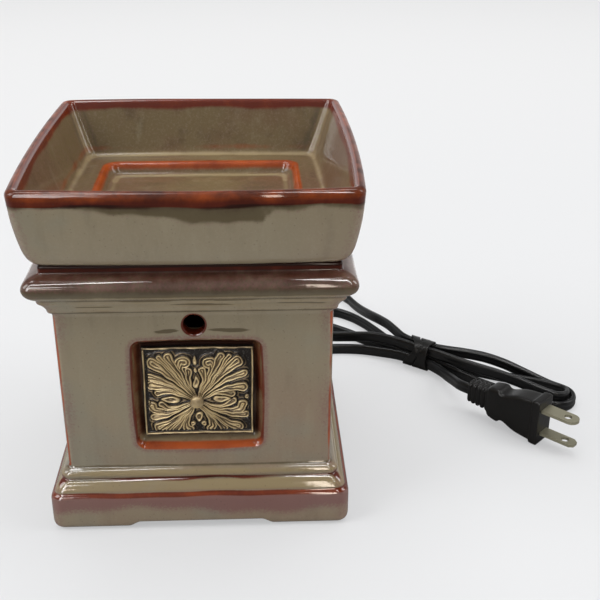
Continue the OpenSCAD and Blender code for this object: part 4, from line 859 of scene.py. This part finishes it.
def tileRelief(x, y):
    # height of the ornament from 0 to 1; every line wavers a little, as cut by hand
    height = np.zeros(x.shape)
    outside = np.full(x.shape, 9.0)
    bx = x - tileSize["boss"][0] + 0.16 * np.sin(y / 1.3 + x / 3.1) + 0.1 * np.sin(y / 0.6 + 2)
    by = y - tileSize["boss"][1] + 0.16 * np.sin(x / 1.5 - y / 2.7) + 0.1 * np.sin(x / 0.7 + 1)
    for head, points in leaves:
        edge = leafField(bx, by, head, points)
        outside = np.minimum(outside, edge)
        lines = contour(-edge)
        height = np.where(edge < 0, np.maximum(lines, 0.3 * height), np.maximum(height, lines))
    # a lower line follows every leaf at a distance and fills the ground between them
    height = np.maximum(height, 0.6 * bump(outside, 0.95, 0.34) * (0.75 + 0.25 * np.sin(x / 1.9 + y / 2.3)))
    for (cx, cy), long, wide, turned in drops:
        c, s = math.cos(math.radians(turned)), math.sin(math.radians(turned))
        u, v = (bx - cx) * c + (by - cy) * s, (by - cy) * c - (bx - cx) * s
        taper = 1 - 0.4 * np.clip(u / long, -1, 1)
        edge = (np.hypot(u / long, v / (wide * taper)) - 1) * wide
        height = np.where(edge < 0.25, contour(0.05 - edge), height)
    return height


def makeTile(size):
    step = size["step"]
    halfW, halfH = size["width"] / 2, size["height"] / 2
    columns, rows = int(size["width"] / step) + 1, int(size["height"] / step) + 1
    x, y = np.meshgrid(np.linspace(-halfW, halfW, columns), np.linspace(-halfH, halfH, rows))
    u, v = x / halfW, y / halfH
    dome = size["dome"] * (1 - u**2) * (1 - v**2)
    inside = np.minimum(halfW - np.abs(x), halfH - np.abs(y))          # distance in from the tile's edge
    ornament = tileRelief(x, y) * rise(inside, 1.7, 2.3)
    sway = 0.5 + 0.3 * np.sin(x / 2.3 + y / 1.7) + 0.2 * np.sin(x / 0.9 - y / 1.1)
    frameBar = rise(inside, 0.0, 0.35) * (1 - rise(inside, 0.7, 1.15))
    frameBar = frameBar * (0.95 - np.where(y > halfH - 1.5, 0.5, 0.25) * sway)
    boss = np.clip(1 - (np.hypot(x - size["boss"][0], y - size["boss"][1]) / size["bossRadius"]) ** 2, 0, 1)
    relief = np.maximum(ornament, frameBar)
    rough = np.random.default_rng(5).normal(0, size["rough"], x.shape)
    lift = size["thick"] - size["relief"] + dome + size["relief"] * relief + rough
    bossLift = size["thick"] + dome + size["bossLift"] + 0.9 * np.sqrt(boss)
    lift = np.where(boss > 0, np.maximum(bossLift, lift), lift)
    relief = np.where(boss > 0, 0.72, relief)
    # slightly uneven outline, as pressed by hand
    px = size["x"] + x + 0.25 * np.sin(y / 9)
    pz = size["z"] + y + 0.35 * np.cos(x / 16)
    face = np.stack([px, size["back"] - lift, pz], -1).reshape(-1, 3)
    number = np.arange(rows * columns).reshape(rows, columns)
    rim = np.concatenate([number[0, :-1], number[:-1, -1], number[-1, :0:-1], number[:0:-1, 0]])
    back = face[rim].copy()
    back[:, 1] = size["back"]
    centre = np.array([[size["x"], size["back"], size["z"]]])
    count = rows * columns
    ring = count + np.arange(len(rim))
    # seen from the front (-Y) x runs right and z up, so this order of the grid's corners faces out
    faces = np.vstack([gridFaces(rows, columns, closeColumns=False),
                       np.column_stack([rim, ring, np.roll(ring, -1), np.roll(rim, -1)]),
                       fanCap(ring, count + len(rim), flip=True)])
    values = np.r_[relief.ravel(), np.zeros(len(rim) + 1)]
    return makeMesh("reliefTile", np.vstack([face, back, centre]), faces, attributes={"relief": values})


tile = makeTile(tileSize)
print("tile pressed:", len(tile.data.polygons), "faces")


tileLook = {"ground": (0.014, 0.009, 0.006), "bronze": (0.205, 0.140, 0.068), "gold": (0.590, 0.450, 0.235),
            "dust": (0.36, 0.35, 0.31)}


def makeTileMaterial(look):
    # antiqued relief: near black in the ground, old gold on what stands out
    material, tree, shader = startMaterial("antiquedTile")
    marks = placeMottle(tree, Patch_Size=160.0, Grain_Size=1400.0, Speck_Size=700.0)
    broken = times(minus(marks["Patches"], 0.5), 0.7)
    value = plus(attributeNode(tree, "relief"), broken)
    colour = mixColour(rampNode(value, 0.16, 0.50), look["ground"], look["bronze"])
    colour = mixColour(rampNode(value, 0.50, 0.92), colour, look["gold"])
    dusty = times(rampNode(marks["Grain"], 0.55, 0.75), 0.3)
    setSockets(shader, Base_Color=mixColour(dusty, colour, look["dust"]), Roughness=0.36, Metallic=0.3,
               Normal=bumpNode(marks["Grain"], 0.35, 0.0002))
    return material


tieSize = {"length": 17.5, "low": -8.25, "high": 2.8, "top": 14.55, "bottom": 0.12, "strap": 5.2,
           "thick": 1.5, "turns": 3, "squareness": 3.2}


def makeTie(size):
    # a strap wound round the waist: its centre line circles a rounded box while it wanders along the hank
    across, tall = (size["high"] - size["low"]) / 2, (size["top"] - size["bottom"]) / 2
    middleT, middleZ = (size["high"] + size["low"]) / 2, (size["top"] + size["bottom"]) / 2
    u = np.linspace(0, 1, 300)
    angle = 2 * math.pi * size["turns"] * u
    square = size["squareness"]
    reach = (np.abs(np.cos(angle)) ** square + np.abs(np.sin(angle)) ** square) ** (-1 / square)
    layer = 0.42 * size["thick"] * np.sin(angle / 2 + 0.7) ** 2
    t = middleT + (across + layer) * reach * np.cos(angle)
    z = middleZ + (tall + layer * (np.sin(angle) > -0.2)) * reach * np.sin(angle)
    s = (size["length"] / 2 - size["strap"] / 2) * np.sin(2 * math.pi * u * (size["turns"] - 0.5) + 0.6)
    line = onTable(np.column_stack([s, t, z]))
    way = unitRows(np.gradient(line, axis=0))
    out = line - onTable(np.column_stack([s, np.full(len(s), middleT), np.full(len(s), middleZ)]))
    out = unitRows(out - way * (out * way).sum(1)[:, None])
    wide = np.cross(way, out)
    around = np.linspace(0, 2 * math.pi, 16, endpoint=False)
    pinch = 1 - 0.25 * np.sin(5 * angle / 3) ** 2
    flat = power(np.cos(around), 0.5) * size["strap"] / 2
    thick = power(np.sin(around), 0.6) * size["thick"] / 2 + 0.18 * np.cos(2 * around)
    grid = (line[:, None] + wide[:, None] * (flat[:, None] * pinch[:, None, None])
            + out[:, None] * thick[None, :, None])
    grid[..., 2] = np.maximum(grid[..., 2], 0.05)
    return cappedTube("hankTie", grid, line[0], line[-1])


tie = makeTie(tieSize)


def roundedSection(halfX, halfZ, corner):
    # a rectangle with round corners as (sideways, up) points
    points = []
    for k, (sx, sz) in enumerate(((1, 1), (-1, 1), (-1, -1), (1, -1))):
        arc = np.radians(np.linspace(0, 90, 8)) + k * math.pi / 2
        points.append(np.column_stack([sx * (halfX - corner) + corner * np.cos(arc),
                                       sz * (halfZ - corner) + corner * np.sin(arc)]))
    return np.vstack(points)


def makePlug(place):
    # stations along the plug: distance, half width, half height, corner radius; first the ribbed neck
    stations = [[0, 2.6, 4.6, 2.0], [0.15, 3.4, 5.7, 2.2]]
    for k in range(place["ribs"]):
        wide, tall = 0.12 * k, 0.1 * k
        stations += offsets((place["firstRib"] + place["ribGap"] * k, 0, [
            (0, 3.7 + wide, 6.0 + tall, 2.2), (0.3, 3.1, 5.4, 2.0), (1.1, 3.1, 5.4, 2.0),
            (1.4, 3.75 + wide, 6.05 + tall, 2.2)]))
    stations += [
        [12.2, 4.2, 6.6, 2.0], [12.8, 4.6, 8.2, 2.0], [14, 4.9, 8.7, 2.0], [18.4, 5.4, 9.3, 2.0],
        [19.2, 5.45, 9.0, 2.0], [20.4, 5.5, 7.5, 2.0], [22.4, 5.55, 7.6, 2.0], [24.4, 5.6, 8.4, 2.0],
        [27.6, 5.7, 9.9, 2.0], [31, 5.8, 10.5, 1.8], [37.4, 5.9, 10.95, 1.6], [37.8, 5.9, 11.0, 1.5],
        [38.05, 6.1, 11.6, 1.3], [38.3, 6.45, 11.95, 1.3], [41.9, 6.5, 12.0, 1.3], [42.3, 6.3, 11.8, 1.2],
        [42.4, 5.9, 11.4, 1.0]]
    rings = np.stack([roundedSection(*section) for distance, *section in stations])
    distance = np.array([row[0] for row in stations])[:, None]
    # sideways runs to the right of the plug's way, so the rings turn the same way as the sweep's
    (atX, atY), (ax, ay), middleZ = place["at"], place["along"], place["height"] / 2
    grid = np.stack([atX + ax * distance + ay * rings[..., 0], atY + ay * distance - ax * rings[..., 0],
                     np.maximum(middleZ + rings[..., 1], 0.02)], -1)
    face = (atX + ax * place["length"], atY + ay * place["length"], middleZ)
    piece = cappedTube("plugShell", grid, (atX, atY, middleZ), face)
    soften = piece.modifiers.new("softEdges", "SUBSURF")
    soften.levels = soften.render_levels = 1
    return piece


plug = makePlug(plugPlace)
print("tie and plug made")

def makeGlass():
    material, _, shader = startMaterial("clearGlass")
    setSockets(shader, Base_Color=(1, 1, 1), Roughness=0.02, Transmission_Weight=1.0, IOR=1.45)
    return material


finishes = {
    "glaze": glaze,
    "tile": makeTileMaterial(tileLook),
    "rubber": plainMaterial("padRubber", (0.03, 0.03, 0.03), 0.8),
    "paintedSteel": plainMaterial("plateSteel", (0.30, 0.30, 0.31), 0.45, metallic=0.6, grain=0.05),
    "steel": plainMaterial("zincSteel", (0.62, 0.62, 0.63), 0.32, metallic=1.0),
    "brass": plainMaterial("lampBrass", (0.74, 0.57, 0.28), 0.3, metallic=1.0),
    "blade": plainMaterial("bladeMetal", (0.40, 0.375, 0.27), 0.42, metallic=0.9, grain=0.5,
                           grainScale=420.0),
    "socket": plainMaterial("socketPlastic", (0.03, 0.03, 0.03), 0.45),
    "switch": plainMaterial("switchPlastic", (0.02, 0.02, 0.02), 0.5, grain=0.1),
    "cord": cordVinyl,
    "moulding": moulding,
    "glass": makeGlass(),
}
keptNodes = {
    "rubber": ["foot_pads"],
    "paintedSteel": ["base_plate"],
    "steel": ["plate_screws", "plate_nuts", "socket_bracket", "bracket_rivets", "socket_screw",
              "bulb_contact", "bulb_filament", "switch_screws"],
    "socket": ["socket_housing"],
    "brass": ["socket_shell", "socket_contact", "bulb_base"],
    "glass": ["bulb_glass", "bulb_stem"],
    "cord": ["inner_lead"],
    "moulding": ["cord_relief"],
    "switch": ["switch_lower", "switch_upper", "switch_wheel"],
    "blade": ["plug_blades"],
}


def dress(piece, finish):
    piece.data.materials.clear()
    piece.data.materials.append(finishes[finish])


for finish, names in keptNodes.items():
    for name in names:
        dress(nodes[name], finish)

made = [
    (dish, "glaze", "dish_body", "glaze", ["dish"]),
    (pedestal, "glaze", "pedestal", "glaze", ["body_shell"]),
    (tile, "tile", "pedestal", "tile_glaze", ["medallion"]),
    (leadCord, "cord", "pedestal", "cord_vinyl", ["cord_lead"]),
    (hankCord, "cord", "pedestal", "cord_vinyl", ["cord_tail", "cord_hank", "cord_plug_lead"]),
    (tie, "moulding", "pedestal", "plug_vinyl", ["cord_tie"]),
    (plug, "moulding", "pedestal", "plug_vinyl", ["plug_body"]),
]
for piece, finish, body, slotName, replaced in made:
    dress(piece, finish)
    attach(piece, body)
    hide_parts(*replaced)

stageLook = {
    "floorColour": (0.72, 0.72, 0.725),
    "floorSeen": (0.715, 0.72, 0.73),        # the paper's even tone near the object and far behind it,
    "floorSeenFar": (0.86, 0.86, 0.86),      # of which the picture takes the share below
    "floorShare": 0.6,
    "floorHalf": 4.0,                        # metres
    "mirroredNear": (0.26, 0.26, 0.26),      # what the glaze shows of the paper: it ends close in front
    "mirroredFar": (0.03, 0.03, 0.03),
    "mirroredBack": (0.85, 0.85, 0.85),
    "worldColour": (0.92, 0.93, 0.94),
    "worldStrength": 0.60,
    "worldMirrored": (0.035, 0.9, 0.3),      # in front, behind and beside the object, and there higher up
    "backdropSeen": (0.86, 0.86, 0.86),
}


def makeFloor(look):
    half = look["floorHalf"]
    corners = np.array([[-half, -half, 0], [half, -half, 0], [half, half, 0], [-half, half, 0]]) / mm
    floor = makeMesh("floorSheet", corners - np.array([0, 0, 0.02]), [[0, 1, 2, 3]], smooth=False)
    material, tree, shader = startMaterial("floorPaper")
    path = addNode(tree, "ShaderNodeLightPath").outputs
    y = addNode(tree, "ShaderNodeSeparateXYZ", Vector=objectPlace(tree)).outputs["Y"]
    mirrored = mixColour(rampNode(y, -0.32, -0.10), look["mirroredFar"], look["mirroredNear"])
    mirrored = mixColour(rampNode(y, 0.10, 0.25), mirrored, look["mirroredBack"])
    colour = mixColour(path["Is Glossy Ray"], look["floorColour"], mirrored)
    setSockets(shader, Base_Color=colour, Roughness=0.8, Specular_IOR_Level=0.0)
    tone = mixColour(rampNode(y, 0.1, 1.1), look["floorSeen"], look["floorSeenFar"])
    even = addNode(tree, "ShaderNodeEmission", Color=tone, Strength=1.0)
    seen = times(path["Is Camera Ray"], look["floorShare"])
    setSockets(tree.nodes["Material Output"], Surface=mixShader(seen, shader, even).outputs[0])
    floor.data.materials.append(material)


def makeWorld(look):
    # a soft even light; in reflections a room dark in front and pale behind, and to the camera the backdrop
    world = bpy.data.worlds.new("studio")
    bpy.context.scene.world = world
    world.use_nodes = True
    tree = world.node_tree
    tree.nodes.clear()

    def sky(colour, strength):
        return addNode(tree, "ShaderNodeBackground", Color=look[colour], Strength=strength)

    direction = addNode(tree, "ShaderNodeTexCoord").outputs["Generated"]
    way = addNode(tree, "ShaderNodeSeparateXYZ", Vector=direction).outputs
    side = rampNode(mathNode("ABSOLUTE", way["X"]), 0.7, 0.95)
    reach = mathNode("MAXIMUM", rampNode(way["Y"], 0.0, 0.5), side)
    near, far, above = look["worldMirrored"]
    fall = times(rampNode(way["Z"], 0.18, 0.45), above - far)
    level = times(reach, plus(fall, far - near))
    mirrored = sky("worldColour", plus(level, near))
    path = addNode(tree, "ShaderNodeLightPath").outputs
    room = mixShader(path["Is Glossy Ray"], sky("worldColour", look["worldStrength"]), mirrored)
    seen = mixShader(path["Is Camera Ray"], room, sky("backdropSeen", 1.0))
    addNode(tree, "ShaderNodeOutputWorld", Surface=seen.outputs[0])


def makeLamp(name, place, aim, size, power, colour=(1, 1, 1), card=False, mirrored=True):
    # an area lamp that looks at its aim; size is (width, height) in metres; a card only shows in the gloss
    data = bpy.data.lights.new(name, "AREA")
    data.shape, data.size, data.size_y, data.energy = "RECTANGLE", size[0], size[1], power
    data.color = colour
    lamp = bpy.data.objects.new(name, data)
    lamp.visible_diffuse = not card
    lamp.visible_glossy = mirrored
    lamp.visible_camera = False
    bpy.context.scene.collection.objects.link(lamp)
    back = np.array(place, float) - np.array(aim, float)
    back /= np.linalg.norm(back)
    side = np.cross((0, 0, 1), back)
    side /= np.linalg.norm(side)
    lamp.matrix_world = placedBy(side, np.cross(back, side), back, place)


makeFloor(stageLook)
makeWorld(stageLook)
leftCap, rightCap = (-0.06, -0.06, 0.115), (0.06, -0.06, 0.115)      # front corners of the cap
makeLamp("windowLeft", (-1.15, -0.35, 1.15), (0, 0, 0.06), (0.9, 0.9), 17)
makeLamp("windowRight", (1.25, -0.15, 1.05), (0, 0, 0.06), (0.5, 0.8), 9)
makeLamp("ceiling", (0.1, 0.5, 1.9), (0, 0, 0), (1.6, 1.2), 20, mirrored=False)
makeLamp("cardLeft", (-0.65, -1.5, 0.75), (0, 0, 0.1), (0.42, 1.3), 20, card=True)
makeLamp("cardRight", (0.151, -1.5, 0.54), (0, 0, 0.13), (0.042, 1.0), 2.0, (1, 0.86, 0.72), card=True)
makeLamp("cardLowLeft", (-0.30, -1.15, 0.5), leftCap, (0.05, 0.12), 0.22, (1, 0.82, 0.7), card=True)
makeLamp("cardUpLeft", (-0.345, -0.62, 1.02), leftCap, (0.05, 1.2), 4.6, card=True)
makeLamp("cardAboveLeft", (-0.30, 0.12, 1.28), leftCap, (0.40, 0.36), 5, card=True)
makeLamp("cardAboveRight", (0.25, 0.12, 1.28), rightCap, (0.16, 0.36), 2.4, card=True)
makeLamp("cardUpRight", (0.195, -0.62, 1.02), rightCap, (0.045, 1.2), 3.6, card=True)
bpy.context.scene.view_settings.view_transform = "Standard"
print("stage lit")
